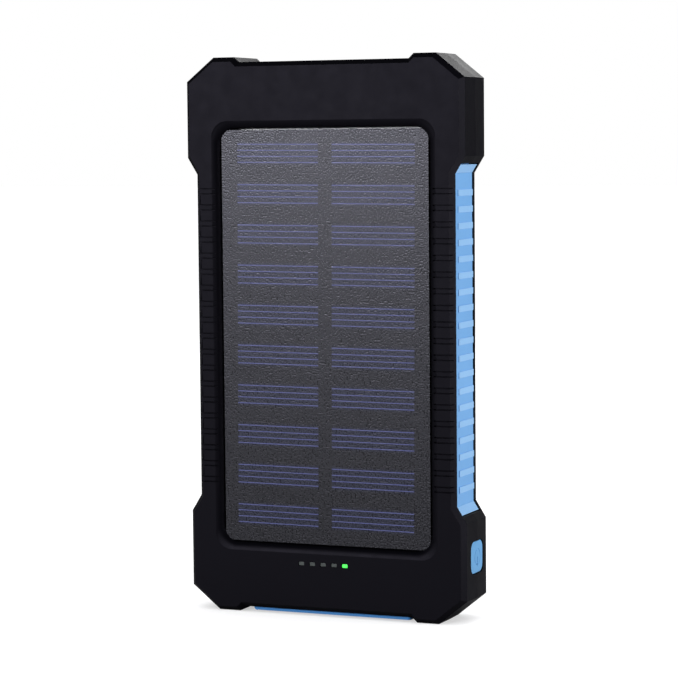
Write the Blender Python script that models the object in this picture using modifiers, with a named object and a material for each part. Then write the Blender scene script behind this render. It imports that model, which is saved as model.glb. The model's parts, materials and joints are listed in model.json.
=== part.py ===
"""A rugged pocket solar charger: a black two-part case with corner bumpers round a blue frame,
a solar panel in the front, two USB-A outputs and a micro-USB input under a rubber port cover at
the lower end, five indicator lights, a side power button and a small torch in the back.

Sizes are in millimetres. X runs across the case, Z up its height, and a depth is measured from
the front face towards the back, so the front looks along -Y. The origin is under the middle of
the case, on the surface that it stands on.
"""

import math

import bmesh
import bpy
from mathutils import Matrix, Vector

MM = 0.001
GAP = 0.3  # between pieces that touch
THIN_GAP = 0.15  # between the layers of the panel and between parts soldered to a board

# The case as a whole
HEIGHT = 140.0
HALF_WIDTH = 37.5
DEPTH = 16.5
PARTING = DEPTH / 2  # depth of the plane where the two covers meet
WALL = 1.8

# Its outline seen from the front
CORNER_CUT_X = 7.5
CORNER_CUT_Z = 6.0
BUMPER_HEIGHT = 25.1
BUMPER_SLOPE = 4.2
WAIST_HALF_WIDTH = 34.9
RECESS_HALF_WIDTH = 22.9
RECESS_SLOPE = 1.3
RECESS_DEPTH = 1.25

# Its edges seen from the side
DRAFT = 0.2
CHAMFER = 1.15
CHAMFER_DEPTH = 1.4
CAVITY_CHAMFER = 0.2

# The blue frame between the covers
SHOWN_END = 26.85  # height where the frame comes out from under a bumper
FRAME_FRONT = 1.85
FRAME_BACK = 13.65
FRAME_INSET = WALL + 0.35
FRAME_HALF_WIDTH = 34.65
FRAME_INNER_HALF_WIDTH = 32.7
FRAME_INNER_END = 5.0
FRAME_INNER_INSET = 3.7
RIB_ZONE = (3.5, FRAME_BACK + 1)
RIB_GROOVE = 0.4
RIB_HEIGHT = 1.6
RIB_DROP = 0.5  # how far a rib sits below the grip bar beside it

# Grip bars, which line up on the covers and on the frame
GRIP_COUNT = 19
GRIP_PITCH = 4.05
GRIP_LOW = HEIGHT / 2 - GRIP_PITCH * (GRIP_COUNT - 1) / 2
GRIP_BAR = 1.35
GRIP_POCKET_DEPTH = 0.3
GRIP_X = (30.6, 33.4)

# The solar panel and its pocket in the front cover
PANEL_HALF_WIDTH = 27.8
PANEL_MIDDLE = HEIGHT / 2 - 0.05
PANEL_HALF_HEIGHT = 51.85
PANEL_LOW = PANEL_MIDDLE - PANEL_HALF_HEIGHT
PANEL_HIGH = PANEL_MIDDLE + PANEL_HALF_HEIGHT
PANEL_RADIUS = 2.4
PANEL_DEPTH = 1.3
LAMINATE = 0.55
CELL_THICKNESS = 0.2
PANEL_BOARD = 0.7
TAPE = 0.2
TAPE_MARGIN = 0.5
TAPE_WIDTH = 4.2
CELL_ROWS = 10
CELL_PITCH = 10.1
CELL_HEIGHT = 6.4
CELL_X = (1.8, 23.7)
RIBBON = 1.6
POCKET_SLOPE = 2.1
TRAY_WALL = 1.2
TRAY_FLOOR = 1.1
LEAD_X = 4.0
LEAD_HOLE_Z = 27.8
LEAD_HOLE_RADIUS = 1.2

# The boards and what is on them
BOARD_X = 32.4
BOARD_Z = (5.3, 25.4)
BOARD_FRONT = 5.2
BOARD_BACK = 6.2
NOTCH_X = 26.6
NOTCH_Z = 12.0
LED_PITCH = 2.96
LED_MIDDLE = -0.6
LED_HEIGHT = 13.2
LED_COUNT = 5
LED_WINDOW = (1.6, 1.05)
LED_SIZE = (1.6, 0.8)
LED_THICKNESS = 0.5
GUIDE_BACK = 3.6
GUIDE_POST_DEPTH = (0.05, 4.2)
GUIDE_END = 1.6  # of the bar past the middle of its end lights
GUIDE_HALF_HEIGHT = 1.2
BOARD_SCREW = (31.0, 22.0)
LEDGE_X = (28.4, 33.9)
LEDGE_BACK = 10.5
LEDGE_HALF_HEIGHT = 2.5

# The sockets
SOCKET_MOUTH = 2.35
USB_X = 12.2
USB_OUTER = (13.1, 5.7)
USB_LENGTH = 13.9
USB_WALL = 0.3
USB_TONGUE = (11.1, 1.84)
USB_CONTACTS = ((-3.5, 7.8), (-1.0, 6.8), (1.0, 6.8), (3.5, 7.8))
USB_CONTACT_WIDTH = 1.0
CONTACT_THICKNESS = 0.2
TONGUE_OFFSET = 2.5  # of the tongue from the front of the shell's inside
TONGUE_SET_BACK = 1.4  # of its tip from the mouth
TONGUE_ROOT = 3.55
ROOT_MARGIN = 0.5
MICRO_OUTER = (7.5, 2.6)
MICRO_LENGTH = 5.6
MICRO_WALL = 0.25
MICRO_TONGUE = (3.8, 0.6)
MICRO_ROOT = (6.4, 1.7)
MICRO_SET_BACK = 0.9

# The port cover in the lower end
OPENING_X = (-22.5, 22.2)
OPENING_DEPTH = (2.1, 14.4)
PLATFORM_LOW = 2.1
COVER_LOW = 0.3
COVER_THICKNESS = 1.5
COVER_END = 21.9
HINGE_X = -19.9
PLUG_RISE = 1.3
USB_PLUG_HALF = (5.7, 2.0)
MICRO_PLUG_HALF = (2.8, 0.7)
MICRO_PLUG_RISE = 1.0
BARREL_RADIUS = 0.85
ANCHOR_HOLE_X = (-22.4, -21.0)
ANCHOR_HOLE_DEPTH = (7.0, 9.8)
ANCHOR_HEAD_TOP = 6.2

# The button in the right side
BUTTON_DEPTH = 8.4
BUTTON_Z = 16.1
BUTTON_SIZE = (8.4, 7.8)
BUTTON_FACE = HALF_WIDTH - 0.05
BUTTON_RADIUS = 2.0
FLANGE_OUTER = HALF_WIDTH - WALL - DRAFT - 0.2
FLANGE_THICKNESS = 1.0
FLANGE_LIP = 0.8
SWITCH_END = 32.3
PLUNGER_END = 33.4
PLUNGER_RADIUS = 1.0
PLUNGER_LENGTH = 2.4
PLUNGER_BORE = 2.1
POST_RADIUS = 1.6
SWITCH_LENGTH = 3.6
SWITCH_BACK = 10.5
SWITCH_HALF_HEIGHT = 3.0

# The battery
BATTERY_HALF_WIDTH = 30.0
BATTERY_DEPTH = (5.0, 13.8)
BATTERY_Z = (31.0, 127.6)
PROTECTION_DEPTH = (9.2, 10.0)
PROTECTION_Z = (26.2, 29.2)
TAB_X = 9.5
TAB_WIDTH = 5.0
TAB_THICKNESS = 0.2
FOAM_HALF_WIDTH = 22.0
FOAM_Z = (44.0, 118.0)
BATTERY_LEAD_RADIUS = 0.55
PANEL_LEAD_RADIUS = 0.45

# Screws and the torch
BOSS_X = 29.6
BOSS_Z = 9.0
BOSS_RADIUS = 2.4
BOSS_ROOT = 1.2
BOSS_END = 12.4
PILOT_RADIUS = 0.95
PILOT_FLOOR = 4.0
SCREW_HOLE_RADIUS = 1.1
WELL_RADIUS = 2.7
WELL_BORE = 1.95
WELL_FLOOR = 13.3
# Head radius and height, shank radius and length
CASE_SCREW = (1.75, 1.3, 0.8, 8.5)
BOARD_SCREW_SIZE = (1.35, 0.9, 0.7, 4.6)
TORCH_X = -23.0
TORCH_Z = (10.5, 18.0)
TORCH_HALF_WIDTH = 3.6
TORCH_RADIUS = TORCH_HALF_WIDTH - 0.1
LENS_GAP = 0.2
LENS_DEPTH = (14.75, DEPTH - 0.1)
REFLECTOR_DEPTH = (11.5, 14.4)
CUP_RADII = (2.75, 3.35)
LABEL_HALF_WIDTH = 26.0
LABEL_Z = (40.0, 122.0)
LABEL_DEPTH = 0.35
LABEL_RADIUS = 3.0

ROUND = 20  # sides of a round piece
THIN_SHELLS = ("front_cover", "rear_cover", "mid_frame")

parts = bpy.data.collections.new("solar_charger")
helpers = bpy.data.collections.new("cutters")


def point(x, depth, z):
    """A place in the case, in metres."""
    return Vector((x, depth - DEPTH / 2, z)) * MM


def material(name, colour, roughness, metallic=0.0):
    """A plain finish, made once and shared by the pieces that have it."""
    found = bpy.data.materials.get(name)
    if found:
        return found
    made = bpy.data.materials.new(name)
    made.use_nodes = True
    shader = made.node_tree.nodes["Principled BSDF"]
    shader.inputs["Base Color"].default_value = (*colour, 1.0)
    shader.inputs["Roughness"].default_value = roughness
    shader.inputs["Metallic"].default_value = metallic
    made.diffuse_color = (*colour, 1.0)
    return made


def finish(name, mesh, location=(0, 0, 0), look=None):
    """An object of the charger from a bmesh. One with no look is a helper: a cutter or an addition."""
    data = bpy.data.meshes.new(name)
    mesh.to_mesh(data)
    mesh.free()
    made = bpy.data.objects.new(name, data)
    made.location = location
    if look:
        data.materials.append(look)
        parts.objects.link(made)
    else:
        made.hide_render = True
        made.display_type = "WIRE"
        helpers.objects.link(made)
    return made


def add_box(mesh, x, depth, z):
    """Adds a box between the given limits to a bmesh and returns its corners."""
    low = point(x[0], depth[0], z[0])
    high = point(x[1], depth[1], z[1])
    size = Matrix.Diagonal((*(high - low), 1.0))
    place = Matrix.Translation((low + high) / 2)
    return bmesh.ops.create_cube(mesh, size=1.0, matrix=place @ size)["verts"]


def boxes(name, spans):
    """A helper of several separate boxes, each given by its limits in X, depth and Z."""
    mesh = bmesh.new()
    for x, depth, z in spans:
        add_box(mesh, x, depth, z)
    return finish(name, mesh)


def box(name, x, depth, z, look=None, radius=0.0, along="Y", segments=3):
    """A box between the given limits, with its origin in its middle. Its edges along one axis,
    or every edge where along is ALL, may be rounded."""
    mesh = bmesh.new()
    middle = point(sum(x) / 2, sum(depth) / 2, sum(z) / 2)
    add_box(mesh, x, depth, z)
    bmesh.ops.translate(mesh, verts=mesh.verts, vec=-middle)
    if radius:
        axis = "XYZ".find(along)
        chosen = []
        for edge in mesh.edges:
            run = edge.verts[1].co - edge.verts[0].co
            if along == "ALL" or abs(run[axis]) > 0.9 * run.length:
                chosen.append(edge)
        bmesh.ops.bevel(
            mesh, geom=chosen, offset=radius * MM, segments=segments, profile=0.5, affect="EDGES"
        )
    return finish(name, mesh, middle, look)


def cylinder(name, radius, middle, along, start, end, look=None, sides=ROUND, end_radius=None):
    """A round bar or cone along one axis. middle gives its other two coordinates, in the order
    X, depth, Z, and start and end its limits along the axis."""
    turns = {
        "X": Matrix.Rotation(math.pi / 2, 4, "Y"),
        "Y": Matrix.Rotation(-math.pi / 2, 4, "X"),
        "Z": Matrix.Identity(4),
    }
    places = {
        "X": lambda s: point(s, middle[0], middle[1]),
        "Y": lambda s: point(middle[0], s, middle[1]),
        "Z": lambda s: point(middle[0], middle[1], s),
    }
    mesh = bmesh.new()
    bmesh.ops.create_cone(
        mesh,
        cap_ends=True,
        segments=sides,
        radius1=radius * MM,
        radius2=(radius if end_radius is None else end_radius) * MM,
        depth=(end - start) * MM,
        matrix=turns[along],
    )
    made = finish(name, mesh, places[along]((start + end) / 2), look)
    made.data.shade_smooth()
    made.data.set_sharp_from_angle(angle=math.radians(40))
    return made


def combine(target, other, operation):
    """Adds a Boolean step. The exact solver drops rim faces of the thin shells named in
    THIN_SHELLS, so those use the manifold one."""
    step = target.modifiers.new(other.name, "BOOLEAN")
    step.operation = operation
    step.solver = "MANIFOLD" if target.name in THIN_SHELLS else "EXACT"
    step.object = other


def cut(target, *cutters):
    for cutter in cutters:
        combine(target, cutter, "DIFFERENCE")


def join(target, *additions):
    for addition in additions:
        combine(target, addition, "UNION")


def turned(name, profile, steps=ROUND):
    """A helper turned about its own Z axis from a profile of (radius, height) points, which runs
    down its outer side from the axis at the top to the axis at the bottom."""
    mesh = bmesh.new()
    corners = [mesh.verts.new((radius * MM, 0, height * MM)) for radius, height in profile]
    for first, second in zip(corners, corners[1:]):
        mesh.edges.new((first, second))
    made = finish(name, mesh)
    spin = made.modifiers.new("turn", "SCREW")
    spin.steps = steps
    spin.render_steps = steps
    spin.use_merge_vertices = True
    spin.merge_threshold = 0.00001
    return made


def place_copies(names, pattern, places, look, to_back=True):
    """Copies of a turned piece that share its shape, with its top towards the back of the case or
    towards the front. The pattern itself is then removed."""
    bpy.context.view_layer.update()
    graph = bpy.context.evaluated_depsgraph_get()
    shape = bpy.data.meshes.new_from_object(pattern.evaluated_get(graph))
    shape.name = pattern.name
    shape.transform(Matrix.Rotation(-math.pi / 2 if to_back else math.pi / 2, 4, "X"))
    shape.materials.clear()
    shape.materials.append(look)
    shape.shade_smooth()
    shape.set_sharp_from_angle(angle=math.radians(40))
    bpy.data.objects.remove(pattern)
    for name, place in zip(names, places):
        made = bpy.data.objects.new(name, shape)
        made.location = place
        parts.objects.link(made)


def corners_of(x, z):
    """The four places at plus and minus x, at height z from the lower and from the upper end."""
    return [(side * x, end) for side in (-1, 1) for end in (z, HEIGHT - z)]


def case_outline():
    """Corners of the case seen from the front, anticlockwise from the right of the lower recess."""
    quarter = [
        (RECESS_HALF_WIDTH, RECESS_DEPTH),
        (RECESS_HALF_WIDTH + RECESS_SLOPE, 0.0),
        (HALF_WIDTH - CORNER_CUT_X, 0.0),
        (HALF_WIDTH, CORNER_CUT_Z),
        (HALF_WIDTH, BUMPER_HEIGHT),
        (WAIST_HALF_WIDTH, BUMPER_HEIGHT + BUMPER_SLOPE),
    ]
    return all_round(quarter)


def all_round(quarter):
    """An outline that is the same in all four corners, from its lower right quarter."""
    right = quarter + [(x, HEIGHT - z) for x, z in reversed(quarter)]
    return right + [(-x, z) for x, z in reversed(right)]


def drawn_in(outline, inset):
    """The outline moved inwards, each side by the same distance."""
    moved = []
    for before, here, after in zip(outline[-1:] + outline[:-1], outline, outline[1:] + outline[:1]):
        run_in = (Vector(here) - Vector(before)).normalized()
        run_out = (Vector(after) - Vector(here)).normalized()
        normal_in = Vector((-run_in.y, run_in.x))
        normal_out = Vector((-run_out.y, run_out.x))
        miter = (normal_in + normal_out) / (1 + normal_in.dot(normal_out))
        moved.append(tuple(Vector(here) + miter * inset))
    return moved


def plate(name, outline, depth, look=None):
    """A flat piece of the given outline, between two depths."""
    curve = bpy.data.curves.new(name, "CURVE")
    curve.dimensions = "2D"
    curve.fill_mode = "BOTH"
    curve.extrude = (depth[1] - depth[0]) / 2 * MM
    spline = curve.splines.new("POLY")
    spline.points.add(len(outline) - 1)
    for spot, (x, z) in zip(spline.points, outline):
        spot.co = (x * MM, z * MM, 0, 1)
    spline.use_cyclic_u = True
    drawn = bpy.data.objects.new(name, curve)
    bpy.context.scene.collection.objects.link(drawn)
    bpy.context.view_layer.update()
    graph = bpy.context.evaluated_depsgraph_get()
    flat = bpy.data.meshes.new_from_object(drawn.evaluated_get(graph))
    mesh = bmesh.new()
    mesh.from_mesh(flat)
    bmesh.ops.remove_doubles(mesh, verts=mesh.verts, dist=0.000001)
    bmesh.ops.transform(mesh, matrix=Matrix.Rotation(math.pi / 2, 4, "X"), verts=mesh.verts)
    bpy.data.objects.remove(drawn)
    bpy.data.curves.remove(curve)
    bpy.data.meshes.remove(flat)
    return finish(name, mesh, point(0, sum(depth) / 2, 0), look)


def rounded(name, half_width, z, depth, radius, look=None, middle=0.0, segments=4):
    """An upright plate with rounded corners, centred on X = middle."""
    span = (middle - half_width, middle + half_width)
    return box(name, span, depth, z, look, radius, "Y", segments)


def wire(name, radius, places, look):
    """A round lead through the given places, drawn smoothly."""
    smooth = []
    padded = [places[0]] + places + [places[-1]]
    for before, first, second, after in zip(padded, padded[1:], padded[2:], padded[3:]):
        for step in range(4):
            t = step / 4
            blend = [
                0.5 * (2 * b + (c - a) * t + (2 * a - 5 * b + 4 * c - d) * t**2
                       + (3 * b - a - 3 * c + d) * t**3)
                for a, b, c, d in zip(before, first, second, after)
            ]
            smooth.append(blend)
    smooth.append(places[-1])
    curve = bpy.data.curves.new(name, "CURVE")
    curve.dimensions = "3D"
    curve.bevel_depth = radius * MM
    curve.bevel_resolution = 1
    curve.use_fill_caps = True
    spline = curve.splines.new("POLY")
    spline.points.add(len(smooth) - 1)
    for spot, place in zip(spline.points, smooth):
        spot.co = (*point(*place), 1)
    curve.materials.append(look)
    made = bpy.data.objects.new(name, curve)
    parts.objects.link(made)
    return made


def lofted(name, sections, look=None):
    """A solid through the case outline at several depths. Each section gives how far the outline
    is drawn in, its draft, which narrows it in X only, and its depth."""
    mesh = bmesh.new()
    rings = []
    for inset, draft, depth in sections:
        narrowing = 1 - draft / HALF_WIDTH
        outline = drawn_in(case_outline(), inset)
        rings.append([mesh.verts.new(point(x * narrowing, depth, z)) for x, z in outline])
    for near, far in zip(rings, rings[1:]):
        for corners in zip(near, near[1:] + near[:1], far[1:] + far[:1], far):
            mesh.faces.new(corners)
    mesh.faces.new(rings[0])
    mesh.faces.new(rings[-1])
    bmesh.ops.recalc_face_normals(mesh, faces=mesh.faces)
    return finish(name, mesh, look=look)


def cover_shell(name, parting, face, look):
    """One half of the case: a hollow half with its open side at the parting plane and a chamfer
    round its outer face."""
    inwards = 1 if parting > face else -1
    shoulder = face + inwards * CHAMFER_DEPTH
    made = lofted(name, ((CHAMFER, DRAFT, face), (0, DRAFT, shoulder), (0, 0, parting)), look)
    floor = face + inwards * WALL
    bend = floor + inwards * CAVITY_CHAMFER
    hollow = (
        (WALL + CAVITY_CHAMFER, DRAFT, floor),
        (WALL, DRAFT, bend),
        (WALL, 0, parting + inwards),
    )
    cut(made, lofted(name + "_hollow", hollow))
    return made


def grip_pockets(name, depth):
    """The shallow pockets between the grip bars of a cover, down both sides of the waist."""
    spans = []
    for side in (-1, 1):
        x = sorted((side * GRIP_X[0], side * GRIP_X[1]))
        for row in range(GRIP_COUNT - 1):
            middle = GRIP_LOW + GRIP_PITCH * (row + 0.5)
            half = (GRIP_PITCH - GRIP_BAR) / 2
            spans.append((x, depth, (middle - half, middle + half)))
    return boxes(name, spans)


def side_cutouts(name, depth):
    """What is cut from a cover's waist to show the frame."""
    spans = []
    for side in (-1, 1):
        x = sorted((side * (FRAME_INNER_HALF_WIDTH - GAP), side * (HALF_WIDTH + 2)))
        spans.append((x, depth, (SHOWN_END, HEIGHT - SHOWN_END)))
    return boxes(name, spans)


def button_opening(name):
    """The rounded hole for the button, which both covers share."""
    clearance = 0.25
    x = (HALF_WIDTH - 3, HALF_WIDTH + 1)
    half_depth = BUTTON_SIZE[0] / 2 + clearance
    half_height = BUTTON_SIZE[1] / 2 + clearance
    depth = (BUTTON_DEPTH - half_depth, BUTTON_DEPTH + half_depth)
    z = (BUTTON_Z - half_height, BUTTON_Z + half_height)
    return box(name, x, depth, z, None, BUTTON_RADIUS + clearance, "X", 4)


def port_opening(name):
    return box(name, OPENING_X, OPENING_DEPTH, (-1, WALL + 2.2))


def led_x(index):
    return LED_MIDDLE + LED_PITCH * (index - (LED_COUNT - 1) / 2)


# Clear the scene
for old in list(bpy.data.objects):
    bpy.data.objects.remove(old)
bpy.context.scene.collection.children.link(parts)
bpy.context.scene.collection.children.link(helpers)

BLACK = material("soft_black", (0.012, 0.012, 0.014), 0.55)
BLUE = material("frame_blue", (0.16, 0.42, 0.82), 0.45)
RUBBER_BLUE = material("rubber_blue", (0.10, 0.34, 0.72), 0.6)
CLEAR = material("clear_plastic", (0.75, 0.8, 0.82), 0.15)
LAMINATE_LOOK = material("panel_laminate", (0.09, 0.09, 0.10), 0.5)
SILICON = material("solar_cell", (0.03, 0.03, 0.08), 0.3)
BOARD_BLACK = material("panel_board", (0.02, 0.02, 0.02), 0.7)
BOARD_GREEN = material("circuit_board", (0.02, 0.18, 0.07), 0.5)
STEEL = material("plated_steel", (0.62, 0.62, 0.62), 0.25, 1.0)
COPPER = material("contact_gold", (0.83, 0.62, 0.28), 0.3, 1.0)
PLASTIC_WHITE = material("white_plastic", (0.8, 0.8, 0.78), 0.45)
PLASTIC_BLACK = material("black_plastic", (0.02, 0.02, 0.02), 0.4)
FERRITE = material("ferrite", (0.08, 0.08, 0.085), 0.6)
FOIL = material("battery_foil", (0.6, 0.61, 0.63), 0.35, 0.8)
FOAM = material("foam_tape", (0.12, 0.12, 0.12), 0.9)
RED = material("red_wire", (0.6, 0.03, 0.02), 0.5)
WIRE_BLACK = material("black_wire", (0.02, 0.02, 0.02), 0.5)
CHROME = material("reflector_chrome", (0.85, 0.85, 0.87), 0.08, 1.0)

# Front cover ---------------------------------------------------------------------------------
tray_back = PANEL_DEPTH + LAMINATE + CELL_THICKNESS + PANEL_BOARD + TAPE + 4 * THIN_GAP
pocket_half_width = PANEL_HALF_WIDTH + GAP
pocket_z = (PANEL_LOW - GAP, PANEL_HIGH + GAP)

front_cover = cover_shell("front_cover", PARTING - THIN_GAP, 0, BLACK)
tray = rounded(
    "tray",
    pocket_half_width + TRAY_WALL,
    (pocket_z[0] - TRAY_WALL, pocket_z[1] + TRAY_WALL),
    (WALL / 2, tray_back + TRAY_FLOOR),
    PANEL_RADIUS + TRAY_WALL,
)
front_bosses = [
    cylinder(f"front_boss_{n}", BOSS_RADIUS, place, "Y", BOSS_ROOT, BOSS_END)
    for n, place in enumerate(corners_of(BOSS_X, BOSS_Z))
]
join(front_cover, tray, *front_bosses)
pocket = rounded("pocket", pocket_half_width, pocket_z, (-1, tray_back), PANEL_RADIUS + GAP)


def window_slope():
    """The sloping edge round the panel: a rounded box whose front face is larger than its back."""
    made = rounded(
        "window_slope",
        pocket_half_width + POCKET_SLOPE,
        (pocket_z[0] - POCKET_SLOPE, pocket_z[1] + POCKET_SLOPE),
        (-0.02, PANEL_DEPTH),
        PANEL_RADIUS + POCKET_SLOPE,
    )
    half_height = (pocket_z[1] - pocket_z[0]) / 2
    for corner in made.data.vertices:
        if corner.co.y > 0:
            for axis, half in ((0, pocket_half_width), (2, half_height)):
                corner.co[axis] *= half / (half + POCKET_SLOPE)
    return made


lead_holes = [
    cylinder(f"lead_hole_{n}", LEAD_HOLE_RADIUS, (x, LEAD_HOLE_Z), "Y", tray_back - 1,
             tray_back + 3, sides=12)
    for n, x in enumerate((-LEAD_X, LEAD_X))
]
led_windows = boxes(
    "led_windows",
    [
        (
            (led_x(n) - LED_WINDOW[0] / 2, led_x(n) + LED_WINDOW[0] / 2),
            (-1, WALL + 1),
            (LED_HEIGHT - LED_WINDOW[1] / 2, LED_HEIGHT + LED_WINDOW[1] / 2),
        )
        for n in range(LED_COUNT)
    ],
)
pilots = [
    cylinder(f"pilot_{n}", PILOT_RADIUS, place, "Y", PILOT_FLOOR, BOSS_END + 1, sides=12)
    for n, place in enumerate(corners_of(BOSS_X, BOSS_Z))
]
cut(
    front_cover,
    pocket,
    window_slope(),
    *lead_holes,
    led_windows,
    *pilots,
    side_cutouts("front_side_cutouts", (FRAME_FRONT - GAP, PARTING + 1)),
    grip_pockets("front_grip_pockets", (-1, GRIP_POCKET_DEPTH)),
    button_opening("front_button_opening"),
    port_opening("front_port_opening"),
)

# Rear cover ----------------------------------------------------------------------------------
rear_cover = cover_shell("rear_cover", PARTING + THIN_GAP, DEPTH, BLACK)
wells = [
    cylinder(f"well_{n}", WELL_RADIUS, place, "Y", BOSS_END + GAP, DEPTH - WALL / 2)
    for n, place in enumerate(corners_of(BOSS_X, BOSS_Z))
]
join(rear_cover, *wells)
well_bores = [
    cylinder(f"well_bore_{n}", WELL_BORE, place, "Y", WELL_FLOOR, DEPTH + 1)
    for n, place in enumerate(corners_of(BOSS_X, BOSS_Z))
]
screw_holes = [
    cylinder(f"screw_hole_{n}", SCREW_HOLE_RADIUS, place, "Y", BOSS_END - 1, WELL_FLOOR + 1,
             sides=12)
    for n, place in enumerate(corners_of(BOSS_X, BOSS_Z))
]
torch_span = (TORCH_Z[0] - TORCH_HALF_WIDTH, TORCH_Z[1] + TORCH_HALF_WIDTH)
torch_window = rounded(
    "torch_window",
    TORCH_HALF_WIDTH + LENS_GAP,
    (torch_span[0] - LENS_GAP, torch_span[1] + LENS_GAP),
    (DEPTH - WALL - 1, DEPTH + 1),
    TORCH_HALF_WIDTH,
    middle=TORCH_X,
)
label_recess = rounded(
    "label_recess", LABEL_HALF_WIDTH, LABEL_Z, (DEPTH - LABEL_DEPTH, DEPTH + 1), LABEL_RADIUS
)
cut(
    rear_cover,
    *well_bores,
    *screw_holes,
    torch_window,
    label_recess,
    side_cutouts("rear_side_cutouts", (PARTING - 1, FRAME_BACK + GAP)),
    grip_pockets("rear_grip_pockets", (DEPTH - GRIP_POCKET_DEPTH, DEPTH + 1)),
    button_opening("rear_button_opening"),
    port_opening("rear_port_opening"),
)

# Blue frame ----------------------------------------------------------------------------------
hidden = drawn_in(case_outline(), FRAME_INSET)
shoulder = SHOWN_END + GAP


def on_slope(first, second, z):
    """The X of a line between two corners at a given height."""
    return first[0] + (second[0] - first[0]) * (z - first[1]) / (second[1] - first[1])


widest = (FRAME_HALF_WIDTH + HALF_WIDTH - WAIST_HALF_WIDTH, BUMPER_HEIGHT)
waist = (FRAME_HALF_WIDTH, BUMPER_HEIGHT + BUMPER_SLOPE)
frame_quarter = hidden[:5] + [
    (on_slope(hidden[4], hidden[5], shoulder), shoulder),
    (on_slope(widest, waist, shoulder), shoulder),
    waist,
]
mid_frame = plate("mid_frame", all_round(frame_quarter), (FRAME_FRONT, FRAME_BACK), BLUE)
corner_inner = drawn_in(case_outline(), FRAME_INNER_INSET)[2:4]
slant = (corner_inner[1][1] - corner_inner[0][1]) / (corner_inner[1][0] - corner_inner[0][0])
inner_quarter = [
    (corner_inner[0][0] + (FRAME_INNER_END - corner_inner[0][1]) / slant, FRAME_INNER_END),
    (
        FRAME_INNER_HALF_WIDTH,
        corner_inner[1][1] + slant * (FRAME_INNER_HALF_WIDTH - corner_inner[1][0]),
    ),
]
frame_hole = plate("frame_hole", all_round(inner_quarter), (0, DEPTH))
# Under the bumpers the frame stops short of the covers' front and back walls.
bumper_trims = boxes(
    "bumper_trims",
    [
        ((-HALF_WIDTH, HALF_WIDTH), depth, z)
        for depth in ((0, WALL + GAP), (FRAME_BACK + 1, DEPTH))
        for z in ((-1, SHOWN_END + 0.1), (HEIGHT - SHOWN_END - 0.1, HEIGHT + 1))
    ],
)
platform = box(
    "platform",
    (OPENING_X[0] + GAP, OPENING_X[1] - GAP),
    (OPENING_DEPTH[0] + GAP, FRAME_BACK - 0.05),
    (PLATFORM_LOW, FRAME_INNER_END - 0.2),
)
ledges = [
    box(
        f"ledge_{side}",
        sorted((side * LEDGE_X[0], side * LEDGE_X[1])),
        (BOARD_BACK + GAP, LEDGE_BACK),
        (BOARD_SCREW[1] - LEDGE_HALF_HEIGHT, BOARD_SCREW[1] + LEDGE_HALF_HEIGHT),
    )
    for side in (-1, 1)
]
rib_grooves = []
for side in (-1, 1):
    groove_x = sorted((side * (FRAME_HALF_WIDTH - RIB_GROOVE), side * (FRAME_HALF_WIDTH + 1)))
    for row in range(GRIP_COUNT - 1):
        groove_middle = GRIP_LOW - RIB_DROP + GRIP_PITCH * (row + 0.5)
        half = (GRIP_PITCH - RIB_HEIGHT) / 2
        rib_grooves.append((groove_x, RIB_ZONE, (groove_middle - half, groove_middle + half)))
usb_middle = BOARD_BACK + THIN_GAP + USB_OUTER[1] / 2
micro_middle = BOARD_BACK + THIN_GAP + MICRO_OUTER[1] / 2
port_holes = []
for x in (-USB_X, USB_X):
    half_x = USB_OUTER[0] / 2 + GAP
    half_depth = USB_OUTER[1] / 2 + GAP
    port_holes.append(
        ((x - half_x, x + half_x), (usb_middle - half_depth, usb_middle + half_depth), (1, 7))
    )
port_holes.append(
    (
        (-MICRO_OUTER[0] / 2 - GAP, MICRO_OUTER[0] / 2 + GAP),
        (micro_middle - MICRO_OUTER[1] / 2 - GAP, micro_middle + MICRO_OUTER[1] / 2 + GAP),
        (1, 7),
    )
)
anchor_hole = (ANCHOR_HOLE_X, ANCHOR_HOLE_DEPTH, (1, 7))
flange_half = (BUTTON_SIZE[0] / 2 + FLANGE_LIP, BUTTON_SIZE[1] / 2 + FLANGE_LIP)
flange_opening = box(
    "flange_opening",
    (32.0, HALF_WIDTH),
    (BUTTON_DEPTH - flange_half[0] - GAP, BUTTON_DEPTH + flange_half[0] + GAP),
    (BUTTON_Z - flange_half[1] - GAP, BUTTON_Z + flange_half[1] + GAP),
)
ledge_pilots = [
    cylinder(f"ledge_pilot_{n}", 0.9, (x, BOARD_SCREW[1]), "Y", 5, 12, sides=12)
    for n, x in enumerate((-BOARD_SCREW[0], BOARD_SCREW[0]))
]
cut(mid_frame, frame_hole, bumper_trims)
join(mid_frame, platform, *ledges)
cut(
    mid_frame,
    boxes("rib_grooves", rib_grooves),
    boxes("port_holes", port_holes + [anchor_hole]),
    flange_opening,
    *ledge_pilots,
)

# Solar panel ---------------------------------------------------------------------------------
depth = PANEL_DEPTH
panel_z = (PANEL_LOW, PANEL_HIGH)
rounded("panel_laminate", PANEL_HALF_WIDTH, panel_z, (depth, depth + LAMINATE), PANEL_RADIUS,
        LAMINATE_LOOK)
depth += LAMINATE + THIN_GAP
for side_name, side in (("left", -1), ("right", 1)):
    cell_x = sorted((side * CELL_X[0], side * CELL_X[1]))
    cell_depth = (depth, depth + CELL_THICKNESS)
    cell_middles = [
        PANEL_MIDDLE + CELL_PITCH * (row - (CELL_ROWS - 1) / 2) for row in range(CELL_ROWS)
    ]
    ribbon_x = side * (CELL_X[0] + CELL_X[1]) / 2
    string = box(
        f"cell_string_{side_name}",
        (ribbon_x - RIBBON / 2, ribbon_x + RIBBON / 2),
        (depth + 0.04, depth + CELL_THICKNESS - 0.04),
        (cell_middles[0] - 1, cell_middles[-1] + 1),
        SILICON,
    )
    row_shapes = [
        (cell_x, cell_depth, (middle - CELL_HEIGHT / 2, middle + CELL_HEIGHT / 2))
        for middle in cell_middles
    ]
    join(string, boxes(f"cells_{side_name}", row_shapes))
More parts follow.
